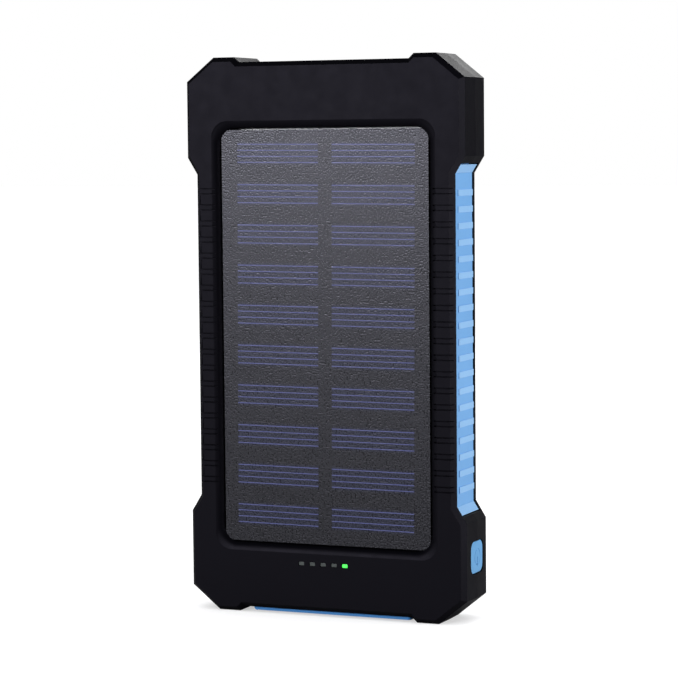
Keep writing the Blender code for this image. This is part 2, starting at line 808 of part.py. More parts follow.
depth += CELL_THICKNESS + THIN_GAP
solar_board = rounded("solar_board", PANEL_HALF_WIDTH, panel_z, (depth, depth + PANEL_BOARD),
                      PANEL_RADIUS, BOARD_BLACK)
depth += PANEL_BOARD + THIN_GAP
panel_tape = rounded(
    "panel_tape",
    PANEL_HALF_WIDTH - TAPE_MARGIN,
    (PANEL_LOW + TAPE_MARGIN, PANEL_HIGH - TAPE_MARGIN),
    (depth, depth + TAPE),
    PANEL_RADIUS,
    FOAM,
)
tape_hole_x = PANEL_HALF_WIDTH - TAPE_WIDTH
cut(
    panel_tape,
    box(
        "tape_hole",
        (-tape_hole_x, tape_hole_x),
        (0, tray_back + 1),
        (PANEL_LOW + TAPE_WIDTH, PANEL_HIGH - TAPE_WIDTH),
    ),
)

# Indicator lights ----------------------------------------------------------------------------
light_guide = box(
    "light_guide",
    (led_x(0) - GUIDE_END, led_x(LED_COUNT - 1) + GUIDE_END),
    (WALL + GAP, GUIDE_BACK),
    (LED_HEIGHT - GUIDE_HALF_HEIGHT, LED_HEIGHT + GUIDE_HALF_HEIGHT),
    CLEAR,
)
guide_posts = boxes(
    "guide_posts",
    [
        (
            (led_x(n) - LED_WINDOW[0] / 2 + THIN_GAP, led_x(n) + LED_WINDOW[0] / 2 - THIN_GAP),
            GUIDE_POST_DEPTH,
            (LED_HEIGHT - LED_WINDOW[1] / 2 + THIN_GAP, LED_HEIGHT + LED_WINDOW[1] / 2 - THIN_GAP),
        )
        for n in range(LED_COUNT)
    ],
)
join(light_guide, guide_posts)


def on_board_front(x, z, size, thickness):
    """Limits of a part soldered to the front of the main board."""
    back = BOARD_FRONT - THIN_GAP
    return (
        (x - size[0] / 2, x + size[0] / 2),
        (back - thickness, back),
        (z - size[1] / 2, z + size[1] / 2),
    )


def on_board_back(x, z, size, thickness):
    """Limits of a part soldered to the back of the main board."""
    front = BOARD_BACK + THIN_GAP
    return (
        (x - size[0] / 2, x + size[0] / 2),
        (front, front + thickness),
        (z - size[1] / 2, z + size[1] / 2),
    )


for n in range(LED_COUNT):
    box(
        f"indicator_led_{n + 1}",
        *on_board_front(led_x(n), LED_HEIGHT, LED_SIZE, LED_THICKNESS),
        PLASTIC_WHITE,
    )

# Main board ----------------------------------------------------------------------------------
main_board = box(
    "main_board", (-BOARD_X, BOARD_X), (BOARD_FRONT, BOARD_BACK), BOARD_Z, BOARD_GREEN
)
notches = boxes(
    "board_notches",
    [
        (sorted((side * NOTCH_X, side * (BOARD_X + 2))), (4, 8), (0, NOTCH_Z))
        for side in (-1, 1)
    ],
)
board_holes = [
    cylinder(f"board_hole_{n}", 0.95, (x, BOARD_SCREW[1]), "Y", 4, 8, sides=12)
    for n, x in enumerate((-BOARD_SCREW[0], BOARD_SCREW[0]))
]
cut(main_board, notches, *board_holes)
# Each part's place on the board, its size there, its thickness, corner radius and finish.
for name, x, z, size, thickness, radius, look in (
    ("power_inductor", 12.0, 20.9, (6.6, 6.6), 3.0, 0.8, FERRITE),
    ("charge_chip", -8.5, 21.0, (4.4, 4.0), 1.3, 0.0, PLASTIC_BLACK),
    ("boost_chip", 0.5, 20.2, (5.0, 4.4), 1.3, 0.0, PLASTIC_BLACK),
    ("indicator_chip", 20.3, 20.8, (3.0, 3.0), 1.0, 0.0, PLASTIC_BLACK),
    ("input_capacitor", -4.2, 21.2, (1.6, 3.2), 1.4, 0.0, PLASTIC_WHITE),
    ("output_capacitor", 6.2, 21.2, (2.0, 3.4), 1.6, 0.0, PLASTIC_WHITE),
):
    box(name, *on_board_back(x, z, size, thickness), look, radius, "Y", 2)


def socket_shell(name, x, outer, wall, length, middle):
    """The folded metal shell of a socket, open at its mouth."""
    z = (SOCKET_MOUTH, SOCKET_MOUTH + length)
    half = (outer[0] / 2, outer[1] / 2)
    made = box(name, (x - half[0], x + half[0]), (middle - half[1], middle + half[1]), z, STEEL,
               0.5, "Z", 2)
    bore = box(
        name + "_bore",
        (x - half[0] + wall, x + half[0] - wall),
        (middle - half[1] + wall, middle + half[1] - wall),
        (0, z[1] - wall),
    )
    cut(made, bore)
    return made


for side_name, x in (("left", -USB_X), ("right", USB_X)):
    socket_shell(f"usb_shell_{side_name}", x, USB_OUTER, USB_WALL, USB_LENGTH, usb_middle)
    cavity_front = usb_middle - USB_OUTER[1] / 2 + USB_WALL
    tongue_front = cavity_front + TONGUE_OFFSET
    root_top = SOCKET_MOUTH + USB_LENGTH - USB_WALL - THIN_GAP
    root_z = (root_top - TONGUE_ROOT, root_top)
    tongue = box(
        f"usb_tongue_{side_name}",
        (x - USB_TONGUE[0] / 2, x + USB_TONGUE[0] / 2),
        (tongue_front, tongue_front + USB_TONGUE[1]),
        (SOCKET_MOUTH + TONGUE_SET_BACK, root_z[0] + 1),
        PLASTIC_WHITE,
    )
    tongue_root = box(
        f"tongue_root_{side_name}",
        (x - USB_OUTER[0] / 2 + ROOT_MARGIN, x + USB_OUTER[0] / 2 - ROOT_MARGIN),
        (usb_middle - USB_OUTER[1] / 2 + ROOT_MARGIN, usb_middle + USB_OUTER[1] / 2 - ROOT_MARGIN),
        root_z,
    )
    join(tongue, tongue_root)
    contact_depth = (tongue_front - THIN_GAP - CONTACT_THICKNESS, tongue_front - THIN_GAP)
    contact_top = root_z[0] - THIN_GAP
    for pin, (offset, span) in enumerate(USB_CONTACTS):
        box(
            f"usb_contact_{side_name}_{pin + 1}",
            (x + offset - USB_CONTACT_WIDTH / 2, x + offset + USB_CONTACT_WIDTH / 2),
            contact_depth,
            (contact_top - span, contact_top),
            COPPER,
        )
socket_shell("micro_usb_shell", 0.0, MICRO_OUTER, MICRO_WALL, MICRO_LENGTH, micro_middle)
micro_tongue = box(
    "micro_usb_tongue",
    (-MICRO_TONGUE[0] / 2, MICRO_TONGUE[0] / 2),
    (micro_middle - 0.1 - MICRO_TONGUE[1], micro_middle - 0.1),
    (SOCKET_MOUTH + MICRO_SET_BACK, SOCKET_MOUTH + MICRO_LENGTH - 1.5),
    PLASTIC_BLACK,
)
join(
    micro_tongue,
    box(
        "micro_tongue_root",
        (-MICRO_ROOT[0] / 2, MICRO_ROOT[0] / 2),
        (micro_middle - MICRO_ROOT[1] / 2, micro_middle + MICRO_ROOT[1] / 2),
        (SOCKET_MOUTH + MICRO_LENGTH - 1.9, SOCKET_MOUTH + MICRO_LENGTH - MICRO_WALL - 0.2),
    ),
)

# Port cover ----------------------------------------------------------------------------------
cover_top = COVER_LOW + COVER_THICKNESS
hinge_z = COVER_LOW + COVER_THICKNESS / 2
cover_depth = (OPENING_DEPTH[0] + GAP, OPENING_DEPTH[1] - GAP)
port_hinge = bpy.data.objects.new("port_cover_hinge", None)
port_hinge.location = point(HINGE_X, sum(cover_depth) / 2, hinge_z)
parts.objects.link(port_hinge)
port_cover = box(
    "port_cover", (HINGE_X, COVER_END), cover_depth, (COVER_LOW, cover_top), RUBBER_BLUE
)
barrel = cylinder("hinge_barrel", BARREL_RADIUS, (HINGE_X, hinge_z), "Y", *cover_depth, sides=16)
plugs = [
    box(
        f"plug_{n}",
        (x - half_x, x + half_x),
        (middle - half_depth, middle + half_depth),
        (cover_top - 0.4, cover_top + rise),
        None,
        0.6,
        "Z",
        2,
    )
    for n, (x, middle, half_x, half_depth, rise) in enumerate(
        (
            (-USB_X, usb_middle, *USB_PLUG_HALF, PLUG_RISE),
            (USB_X, usb_middle, *USB_PLUG_HALF, PLUG_RISE),
            (0.0, micro_middle, *MICRO_PLUG_HALF, MICRO_PLUG_RISE),
        )
    )
]
join(port_cover, barrel, *plugs)
port_cover.parent = port_hinge
port_cover.location = port_cover.location - port_hinge.location
cover_anchor = box(
    "cover_anchor",
    (OPENING_X[0] + GAP, HINGE_X - BARREL_RADIUS - GAP),
    (cover_depth[0] + 1, cover_depth[1] - 1),
    (RECESS_DEPTH, cover_top + 0.1),
    RUBBER_BLUE,
)
anchor_stem = box(
    "anchor_stem",
    (ANCHOR_HOLE_X[0] + GAP, ANCHOR_HOLE_X[1] - GAP),
    (ANCHOR_HOLE_DEPTH[0] + GAP, ANCHOR_HOLE_DEPTH[1] - GAP),
    (cover_top - 0.3, ANCHOR_HEAD_TOP - 0.4),
)
anchor_head = box(
    "anchor_head",
    (ANCHOR_HOLE_X[0] - GAP, ANCHOR_HOLE_X[1] + GAP),
    (ANCHOR_HOLE_DEPTH[0] - GAP, ANCHOR_HOLE_DEPTH[1] + GAP),
    (FRAME_INNER_END + GAP, ANCHOR_HEAD_TOP),
)
join(cover_anchor, anchor_stem, anchor_head)

# Power button and its switch -----------------------------------------------------------------
button = box(
    "power_button",
    (FLANGE_OUTER - 0.5, BUTTON_FACE),
    (BUTTON_DEPTH - BUTTON_SIZE[0] / 2, BUTTON_DEPTH + BUTTON_SIZE[0] / 2),
    (BUTTON_Z - BUTTON_SIZE[1] / 2, BUTTON_Z + BUTTON_SIZE[1] / 2),
    RUBBER_BLUE,
    BUTTON_RADIUS,
    "X",
    4,
)
flange = box(
    "button_flange",
    (FLANGE_OUTER - FLANGE_THICKNESS, FLANGE_OUTER),
    (BUTTON_DEPTH - flange_half[0], BUTTON_DEPTH + flange_half[0]),
    (BUTTON_Z - flange_half[1], BUTTON_Z + flange_half[1]),
)
post = cylinder(
    "button_post", POST_RADIUS, (BUTTON_DEPTH, BUTTON_Z), "X", PLUNGER_END + GAP,
    FLANGE_OUTER - 0.3, sides=16,
)
join(button, flange, post)
switch_body = box(
    "switch_body",
    (SWITCH_END - SWITCH_LENGTH, SWITCH_END),
    (BOARD_BACK + THIN_GAP, SWITCH_BACK),
    (BUTTON_Z - SWITCH_HALF_HEIGHT, BUTTON_Z + SWITCH_HALF_HEIGHT),
    PLASTIC_BLACK,
)
switch_bore = cylinder(
    "switch_bore", PLUNGER_RADIUS + 0.2, (BUTTON_DEPTH, BUTTON_Z), "X",
    SWITCH_END - PLUNGER_BORE, SWITCH_END + 1, sides=16,
)
cut(switch_body, switch_bore)
cylinder(
    "switch_plunger", PLUNGER_RADIUS, (BUTTON_DEPTH, BUTTON_Z), "X",
    PLUNGER_END - PLUNGER_LENGTH, PLUNGER_END, PLASTIC_WHITE, 16,
)

# Battery -------------------------------------------------------------------------------------
box(
    "battery_cell",
    (-BATTERY_HALF_WIDTH, BATTERY_HALF_WIDTH),
    BATTERY_DEPTH,
    BATTERY_Z,
    FOIL,
    1.6,
    "ALL",
    2,
)
box("protection_board", (-15, 15), PROTECTION_DEPTH, PROTECTION_Z, BOARD_GREEN)
tab_front = PROTECTION_DEPTH[1] + THIN_GAP
tab_z = (PROTECTION_Z[1] - 1.6, BATTERY_Z[0] - GAP)
for side_name, side in (("left", -1), ("right", 1)):
    tab_x = (side * TAB_X - TAB_WIDTH / 2, side * TAB_X + TAB_WIDTH / 2)
    box(f"battery_tab_{side_name}", tab_x, (tab_front, tab_front + TAB_THICKNESS), tab_z, STEEL)
box(
    "battery_foam",
    (-FOAM_HALF_WIDTH, FOAM_HALF_WIDTH),
    (BATTERY_DEPTH[1] + 0.2, DEPTH - WALL - 0.25),
    FOAM_Z,
    FOAM,
)
wire(
    "battery_lead_red", BATTERY_LEAD_RADIUS,
    [(-13.4, 10.9, 28.2), (-14.8, 11.0, 26.5), (-17.6, 10.0, 24.0), (-18.8, 8.2, 22.4),
     (-19.0, 7.1, 21.2)],
    RED,
)
wire(
    "battery_lead_black", BATTERY_LEAD_RADIUS,
    [(13.4, 10.9, 28.2), (14.9, 11.0, 26.6), (16.9, 10.4, 25.0), (17.3, 8.8, 23.8),
     (17.3, 7.1, 23.3)],
    WIRE_BLACK,
)

# Leads from the panel to the main board ------------------------------------------------------
lead_start = depth + TAPE / 2
for name, x, look in (("panel_lead_red", -LEAD_X, RED), ("panel_lead_black", LEAD_X, WIRE_BLACK)):
    wire(
        name, PANEL_LEAD_RADIUS,
        [(x, lead_start, LEAD_HOLE_Z), (x, 5.4, LEAD_HOLE_Z), (x, 7.0, 27.2), (x, 7.9, 25.8),
         (x, 7.7, 24.4), (x, 6.7, 24.0)],
        look,
    )

# Torch ---------------------------------------------------------------------------------------
torch_led = turned(
    "torch_led",
    [(0, 7.7), (1.2, 7.4), (2.1, 6.6), (2.5, 5.3), (2.5, 1.1), (2.9, 1.1), (2.9, 0), (0, 0)],
    16,
)
place_copies(
    ("torch_led_lower", "torch_led_upper"),
    torch_led,
    [point(TORCH_X, BOARD_BACK + THIN_GAP, z) for z in TORCH_Z],
    CLEAR,
)
torch_reflector = rounded(
    "torch_reflector", TORCH_HALF_WIDTH, torch_span, REFLECTOR_DEPTH, TORCH_RADIUS, CHROME,
    TORCH_X,
)
reflector_cups = [
    cylinder(
        f"reflector_cup_{n}",
        CUP_RADII[0],
        (TORCH_X, z),
        "Y",
        REFLECTOR_DEPTH[0] - 0.5,
        REFLECTOR_DEPTH[1] + 0.2,
        end_radius=CUP_RADII[1],
    )
    for n, z in enumerate(TORCH_Z)
]
cut(torch_reflector, *reflector_cups)
rounded(
    "torch_lens", TORCH_HALF_WIDTH, torch_span, LENS_DEPTH, TORCH_RADIUS, CLEAR, TORCH_X
)

# Screws --------------------------------------------------------------------------------------


def screw(name, head_radius, head_height, shank_radius, shank_length):
    """A pan-head screw with a cross recess, its head up and the underside of its head at zero."""
    made = turned(
        name,
        [
            (0, head_height),
            (head_radius * 0.6, head_height),
            (head_radius * 0.92, head_height * 0.7),
            (head_radius, head_height * 0.3),
            (head_radius, 0),
            (shank_radius, 0),
            (shank_radius, shank_radius - shank_length),
            (0, -shank_length),
        ],
        16,
    )
    arm = head_radius * 0.55
    slot = head_radius * 0.13
    mesh = bmesh.new()
    for size in ((arm, slot), (slot, arm)):
        bmesh.ops.create_cube(
            mesh,
            size=2 * MM,
            matrix=Matrix.Translation((0, 0, (head_height + 0.4) * MM))
            @ Matrix.Diagonal((size[0], size[1], 0.9, 1.0)),
        )
    cross = finish(name + "_cross", mesh)
    combine(made, cross, "DIFFERENCE")
    made.modifiers[-1].use_self = True
    return made


place_copies(
    [f"case_screw_{n + 1}" for n in range(4)],
    screw("case_screw", *CASE_SCREW),
    [point(x, WELL_FLOOR + THIN_GAP, z) for x, z in corners_of(BOSS_X, BOSS_Z)],
    STEEL,
)
place_copies(
    ("board_screw_left", "board_screw_right"),
    screw("board_screw", *BOARD_SCREW_SIZE),
    [point(x, BOARD_FRONT - THIN_GAP, BOARD_SCREW[1]) for x in (-BOARD_SCREW[0], BOARD_SCREW[0])],
    STEEL,
    to_back=False,
)
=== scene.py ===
# %% [markdown]
# # A rugged solar charger for a phone
#
# The charger is a slab of battery in a two-part black case. Rubbery bumpers guard its corners, a
# blue frame shows along its waist, and a solar panel fills most of its front. This lesson loads
# the charger's working parts and then builds what the eye sees: soft edges, grips, ribs, frosted
# film, lights, screws and finishes.
#
# Every size below is in millimetres. X runs across the case and Z up it. A depth is measured from
# the front face towards the back.

# %% Load the working model
import json
import math

import bpy
from mathutils import Matrix, Vector


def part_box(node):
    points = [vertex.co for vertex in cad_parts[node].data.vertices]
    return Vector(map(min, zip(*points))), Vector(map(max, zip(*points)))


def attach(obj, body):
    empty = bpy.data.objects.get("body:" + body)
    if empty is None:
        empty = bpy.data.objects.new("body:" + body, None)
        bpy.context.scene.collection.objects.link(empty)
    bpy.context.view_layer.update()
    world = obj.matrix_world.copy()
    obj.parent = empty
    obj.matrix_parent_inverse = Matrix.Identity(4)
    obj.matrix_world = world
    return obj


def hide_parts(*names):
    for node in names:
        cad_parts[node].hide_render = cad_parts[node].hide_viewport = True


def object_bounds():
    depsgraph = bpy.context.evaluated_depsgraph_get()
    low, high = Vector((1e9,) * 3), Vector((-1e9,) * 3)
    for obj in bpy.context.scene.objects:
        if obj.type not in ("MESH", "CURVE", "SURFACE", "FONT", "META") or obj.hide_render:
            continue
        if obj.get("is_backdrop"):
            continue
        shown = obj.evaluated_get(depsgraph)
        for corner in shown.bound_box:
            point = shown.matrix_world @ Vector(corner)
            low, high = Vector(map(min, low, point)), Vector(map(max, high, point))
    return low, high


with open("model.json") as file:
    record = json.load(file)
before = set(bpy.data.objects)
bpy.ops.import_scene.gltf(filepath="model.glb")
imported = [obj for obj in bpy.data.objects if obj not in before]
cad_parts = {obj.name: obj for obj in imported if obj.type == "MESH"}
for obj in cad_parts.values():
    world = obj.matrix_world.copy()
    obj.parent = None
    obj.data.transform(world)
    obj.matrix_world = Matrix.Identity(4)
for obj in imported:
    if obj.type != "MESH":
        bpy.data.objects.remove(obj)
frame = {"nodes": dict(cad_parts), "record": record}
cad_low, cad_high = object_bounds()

MM = 0.001

# %% [markdown]
# ## Measuring the case
#
# The working model already has the right size, so the first numbers are read from it. The rest
# describe the outline of the case: bumpers at the corners, a waist between them and a shallow
# recess between the feet and another between the upper bumpers. The outline is the same in all
# four corners, so only one quarter is written down.

# %% Sizes of the case
HEIGHT = (cad_high.z - cad_low.z) / MM
HALF_WIDTH = (cad_high.x - cad_low.x) / 2 / MM
DEPTH = (cad_high.y - cad_low.y) / MM
PARTING = DEPTH / 2
WALL = 1.8
BUMPER_TOP = 25.1
WAIST_START = 29.3
WAIST = 34.9
RECESS = 22.9
RECESS_DEPTH = 1.25
CHAMFER = 1.15
CHAMFER_DEPTH = 1.4

QUARTER = [
    (RECESS, RECESS_DEPTH),
    (RECESS + 1.3, 0.0),
    (HALF_WIDTH - 7.5, 0.0),
    (HALF_WIDTH, 6.0),
    (HALF_WIDTH, BUMPER_TOP),
    (WAIST, WAIST_START),
]


def all_round(quarter):
    right = quarter + [(x, HEIGHT - z) for x, z in reversed(quarter)]
    return right + [(-x, z) for x, z in reversed(right)]


CASE = all_round(QUARTER)
print(f"case {2 * HALF_WIDTH:.1f} x {DEPTH:.1f} x {HEIGHT:.1f} mm, {len(CASE)} corners")

# %% Places and outlines


def place(x, depth, z):
    return Vector((x, depth - DEPTH / 2, z)) * MM


def limits(node_name):
    """The lowest and the highest corner of a working part, in millimetres from the middle."""
    return [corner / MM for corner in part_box(node_name)]


def drawn_in(outline, inset):
    """The outline moved inwards, each side by the same distance."""
    moved = []
    befores, afters = outline[-1:] + outline[:-1], outline[1:] + outline[:1]
    for before, here, after in zip(befores, outline, afters):
        run_in = (Vector(here) - Vector(before)).normalized()
        run_out = (Vector(after) - Vector(here)).normalized()
        side_in = Vector((-run_in.y, run_in.x))
        side_out = Vector((-run_out.y, run_out.x))
        miter = (side_in + side_out) / (1 + side_in.dot(side_out))
        moved.append(tuple(Vector(here) + miter * inset))
    return moved


# %% [markdown]
# ## A small set of hand tools
#
# Each helper below is a few steps that a modeller makes by hand: add a primitive, go into edit
# mode, select by place, then extrude, bevel or scale. Wrapping them keeps the later cells short.
# Operators act on all that is selected, so each helper starts by selecting nothing.

# %% Adding and selecting


def start_fresh():
    if bpy.context.object and bpy.context.object.mode != "OBJECT":
        bpy.ops.object.mode_set(mode="OBJECT")
    bpy.ops.object.select_all(action="DESELECT")


def take(piece):
    """Makes the piece the only selected and active one."""
    start_fresh()
    piece.select_set(True)
    bpy.context.view_layer.objects.active = piece


def pick(piece, kind, wanted):
    """Goes into edit mode with the faces, edges or vertices that the test wants selected. The
    test is given their corners in millimetres as (x, depth, z)."""
    take(piece)
    bpy.ops.object.mode_set(mode="EDIT")
    bpy.ops.mesh.select_mode(type=kind)
    bpy.ops.mesh.select_all(action="DESELECT")
    bpy.ops.object.mode_set(mode="OBJECT")
    mesh = piece.data
    spots = [(v.co.x / MM, v.co.y / MM + DEPTH / 2, v.co.z / MM) for v in mesh.vertices]
    items = {"FACE": mesh.polygons, "EDGE": mesh.edges, "VERT": mesh.vertices}[kind]
    count = 0
    for item in items:
        corners = [spots[item.index]] if kind == "VERT" else [spots[i] for i in item.vertices]
        item.select = bool(wanted(corners))
        count += item.select
    bpy.ops.object.mode_set(mode="EDIT")
    return count


def done():
    bpy.ops.object.mode_set(mode="OBJECT")


def same(corners, axis, value, within=0.02):
    return all(abs(corner[axis] - value) < within for corner in corners)


def along(corners, axis):
    """True for an edge that runs along one axis."""
    ends = [abs(a - b) for a, b in zip(*corners)]
    return ends[axis] > 0.01 and all(end < 0.01 for i, end in enumerate(ends) if i != axis)


X, Y, Z = 0, 1, 2
print("tools ready")

# %% Solids


def block(name, x, depth, z):
    """A cube brought to the given limits."""
    start_fresh()
    low, high = place(x[0], depth[0], z[0]), place(x[1], depth[1], z[1])
    bpy.ops.mesh.primitive_cube_add(size=1, location=(low + high) / 2, scale=high - low)
    piece = bpy.context.object
    piece.name = name
    bpy.ops.object.transform_apply(location=True, rotation=True, scale=True)
    return piece


def rounded_block(name, x, depth, z, radius, axis=Y, segments=8):
    """A block with the four edges that run along one axis rounded."""
    piece = block(name, x, depth, z)
    pick(piece, "EDGE", lambda corners: along(corners, axis))
    bpy.ops.mesh.bevel(offset=radius * MM, segments=segments, affect="EDGES")
    done()
    return piece


def slab(name, outline, near, far):
    """A circle with as many corners as the outline, taken to its corners and extruded."""
    start_fresh()
    bpy.ops.mesh.primitive_circle_add(vertices=len(outline), radius=0.05, fill_type="NGON")
    piece = bpy.context.object
    piece.name = name
    for corner, (x, z) in zip(piece.data.vertices, outline):
        corner.co = place(x, near, z)
    bpy.ops.object.mode_set(mode="EDIT")
    bpy.ops.mesh.select_all(action="SELECT")
    bpy.ops.mesh.extrude_region_move(TRANSFORM_OT_translate={"value": (0, (far - near) * MM, 0)})
    bpy.ops.mesh.select_all(action="SELECT")
    bpy.ops.mesh.normals_make_consistent(inside=False)
    done()
    return piece


TURN = {X: (0, math.pi / 2, 0), Y: (-math.pi / 2, 0, 0), Z: (0, 0, 0)}


def rod(name, radius, middle, axis, start, end, sides=32, end_radius=None):
    """A cylinder or cone along one axis. middle gives the other two of (x, depth, z)."""
    start_fresh()
    spot = list(middle)
    spot.insert(axis, (start + end) / 2)
    bpy.ops.mesh.primitive_cone_add(
        vertices=sides,
        radius1=radius * MM,
        radius2=(radius if end_radius is None else end_radius) * MM,
        depth=(end - start) * MM,
        location=place(*spot),
        rotation=TURN[axis],
    )
    piece = bpy.context.object
    piece.name = name
    bpy.ops.object.transform_apply(location=True, rotation=True, scale=True)
    return piece


def copies(pattern, shifts):
    """Copies of a piece, each with its own mesh, moved by (x, depth, z) and joined into one."""
    made = []
    for shift in shifts:
        copy = pattern.copy()
        copy.data = pattern.data.copy()
        copy.data.transform(Matrix.Translation(Vector(shift) * MM))
        bpy.context.collection.objects.link(copy)
        made.append(copy)
    bpy.data.objects.remove(pattern)
    start_fresh()
    for copy in made:
        copy.select_set(True)
    bpy.context.view_layer.objects.active = made[0]
    if len(made) > 1:
        bpy.ops.object.join()
    return made[0]


# %% Cutting, joining and softening


def combine(piece, other, operation, solver):
    take(piece)
    step = piece.modifiers.new(operation, "BOOLEAN")
    step.operation = operation
    step.solver = solver
    step.object = other
    bpy.ops.object.modifier_apply(modifier=step.name)
    bpy.data.objects.remove(other)


def carve(piece, *cutters, solver="MANIFOLD"):
    for cutter in cutters:
        combine(piece, cutter, "DIFFERENCE", solver)


def fuse(piece, *additions, solver="MANIFOLD"):
    for addition in additions:
        combine(piece, addition, "UNION", solver)


def soften(piece, width, segments=2, angle=25):
    """Rounds every edge that is sharper than the angle, then shades the piece smooth."""
    take(piece)
    step = piece.modifiers.new("soft edges", "BEVEL")
    step.width = width * MM
    step.segments = segments
    step.limit_method = "ANGLE"
    step.angle_limit = math.radians(angle)
    step.miter_outer = "MITER_SHARP"
    bpy.ops.object.modifier_apply(modifier=step.name)
    even = piece.modifiers.new("even shading", "WEIGHTED_NORMAL")
    even.keep_sharp = True
    bpy.ops.object.shade_smooth_by_angle(angle=math.radians(40))
    bpy.ops.object.modifier_apply(modifier=even.name)


def closed(piece):
    """How many of a piece's edges don't join exactly two faces."""
    uses = {}
    for face in piece.data.polygons:
        for key in face.edge_keys:
            uses[key] = uses.get(key, 0) + 1
    return sum(1 for n in uses.values() if n != 2)


def report(piece):
    print(f"{piece.name}: {len(piece.data.polygons)} faces, {closed(piece)} open edges")


# %% [markdown]
# ## Finishes
#
# Each finish is a small node tree. Soft-touch plastic is dark and grainy with a weak shine.
# Moulded plastic has a slight orange-peel bump. Printed and plated surfaces get fine noise. All
# patterns read Object coordinates, which are metres here, so a scale of 2000 gives
# half-millimetre grain.

# %% Node helpers


def new_finish(name, colour, roughness, metallic=0.0, specular=0.5, tint=(1, 1, 1)):
    made = bpy.data.materials.new(name)
    made.use_nodes = True
    shader = made.node_tree.nodes["Principled BSDF"]
    shader.inputs["Base Color"].default_value = (*colour, 1)
    shader.inputs["Roughness"].default_value = roughness
    shader.inputs["Metallic"].default_value = metallic
    shader.inputs["Specular IOR Level"].default_value = specular
    shader.inputs["Specular Tint"].default_value = (*tint, 1)
    made.diffuse_color = (*colour, 1)
    return made, made.node_tree, shader


def node(tree, kind, inputs=None, **settings):
    made = tree.nodes.new("ShaderNode" + kind)
    for key, value in settings.items():
        setattr(made, key, value)
    for key, value in (inputs or {}).items():
        if isinstance(value, bpy.types.NodeSocket):
            tree.links.new(value, made.inputs[key])
        else:
            made.inputs[key].default_value = value
    return made


def math_node(tree, operation, *values, clamp=False):
    inputs = dict(enumerate(values))
    return node(tree, "Math", inputs, operation=operation, use_clamp=clamp).outputs[0]


def object_place(tree):
    return node(tree, "TexCoord").outputs["Object"]


def noise(tree, scale, detail=2.0, roughness=0.5, vector=None):
    inputs = {
        "Scale": scale,
        "Detail": detail,
        "Roughness": roughness,
        "Vector": vector or object_place(tree),
    }
    return node(tree, "TexNoise", inputs).outputs["Fac"]


def spread(tree, value, low, high, low_in=0.3, high_in=0.7):
    """Maps a noise value to a range."""
    inputs = {"Value": value, "From Min": low_in, "From Max": high_in}
    return node(tree, "MapRange", {**inputs, "To Min": low, "To Max": high}).outputs[0]


def mixed(tree, factor, first, second):
    """A mix of two colours."""
    made = node(tree, "Mix", data_type="RGBA")
    for socket, value in ((0, factor), (6, first), (7, second)):
        if isinstance(value, bpy.types.NodeSocket):
            tree.links.new(value, made.inputs[socket])
        elif isinstance(value, tuple):
            made.inputs[socket].default_value = (*value, 1)
        else:
            made.inputs[socket].default_value = value
    return made.outputs[2]


def bump(tree, shader, height, strength, distance, normal=None):
    inputs = {"Height": height, "Strength": strength, "Distance": distance}
    if normal:
        inputs["Normal"] = normal
    made = node(tree, "Bump", inputs).outputs[0]
    tree.links.new(made, shader.inputs["Normal"])
    return made


# %% Moulded plastics and rubbers
DRIFT_SCALE = 45
WEAR_SCALE = 260
WEAR_SPREAD = 0.03
GRAIN_DEPTH = 0.00005
PEEL_SCALE = 300
PEEL_DEPTH = 0.0001
PEEL_SHARE = 0.6


def moulded(name, dark, light, roughness, grain, grain_size, specular=0.5, tint=(1, 1, 1)):
    """A moulded finish: its colour drifts between two shades, its grain is a fine bump and its
    roughness wanders a little."""
    made, tree, shader = new_finish(name, dark, roughness, specular=specular, tint=tint)
    drift = noise(tree, DRIFT_SCALE, 3.0)
    shades = mixed(tree, spread(tree, drift, 0, 1), dark, light)
    tree.links.new(shades, shader.inputs["Base Color"])
    worn = noise(tree, WEAR_SCALE, 4.0, 0.6)
    low, high = roughness - WEAR_SPREAD, roughness + WEAR_SPREAD
    tree.links.new(spread(tree, worn, low, high), shader.inputs["Roughness"])
    fine = bump(tree, shader, noise(tree, 1 / grain_size / MM, 2.0), grain, GRAIN_DEPTH)
    bump(tree, shader, noise(tree, PEEL_SCALE, 2.0), grain * PEEL_SHARE, PEEL_DEPTH, fine)
    return made


SOFT_BLACK = moulded(
    "soft_touch_black",
    (0.0016, 0.0015, 0.0027),
    (0.0021, 0.0020, 0.0034),
    0.5,
    0.10,
    0.22,
    specular=0.10,
    tint=(0.80, 0.76, 1.0),
)
FRAME_BLUE = moulded(
    "frame_blue", (0.29, 0.55, 0.90), (0.33, 0.60, 0.96), 0.38, 0.06, 0.4, specular=0.45
)


def paint_rib_groove_shade(finish, x, dark, blur=0.02):
    """Painted shade: what lies deeper than x on either side is made darker, as the shade between
    ribs.
    """
    tree = finish.node_tree
    shader = tree.nodes["Principled BSDF"]
    plain = shader.inputs["Base Color"].links[0].from_socket
    axes = node(tree, "SeparateXYZ", {"Vector": object_place(tree)})
    out = math_node(tree, "DIVIDE", math_node(tree, "ABSOLUTE", axes.outputs[0]), MM)
    proud = node(
        tree,
        "MapRange",
        {"Value": out, "From Min": x - blur, "From Max": x + blur},
    ).outputs[0]
    shade = mixed(tree, proud, dark, (1.0, 1.0, 1.0))
    toned = node(tree, "VectorMath", {0: plain, 1: shade}, operation="MULTIPLY").outputs[0]
    tree.links.new(toned, shader.inputs["Base Color"])


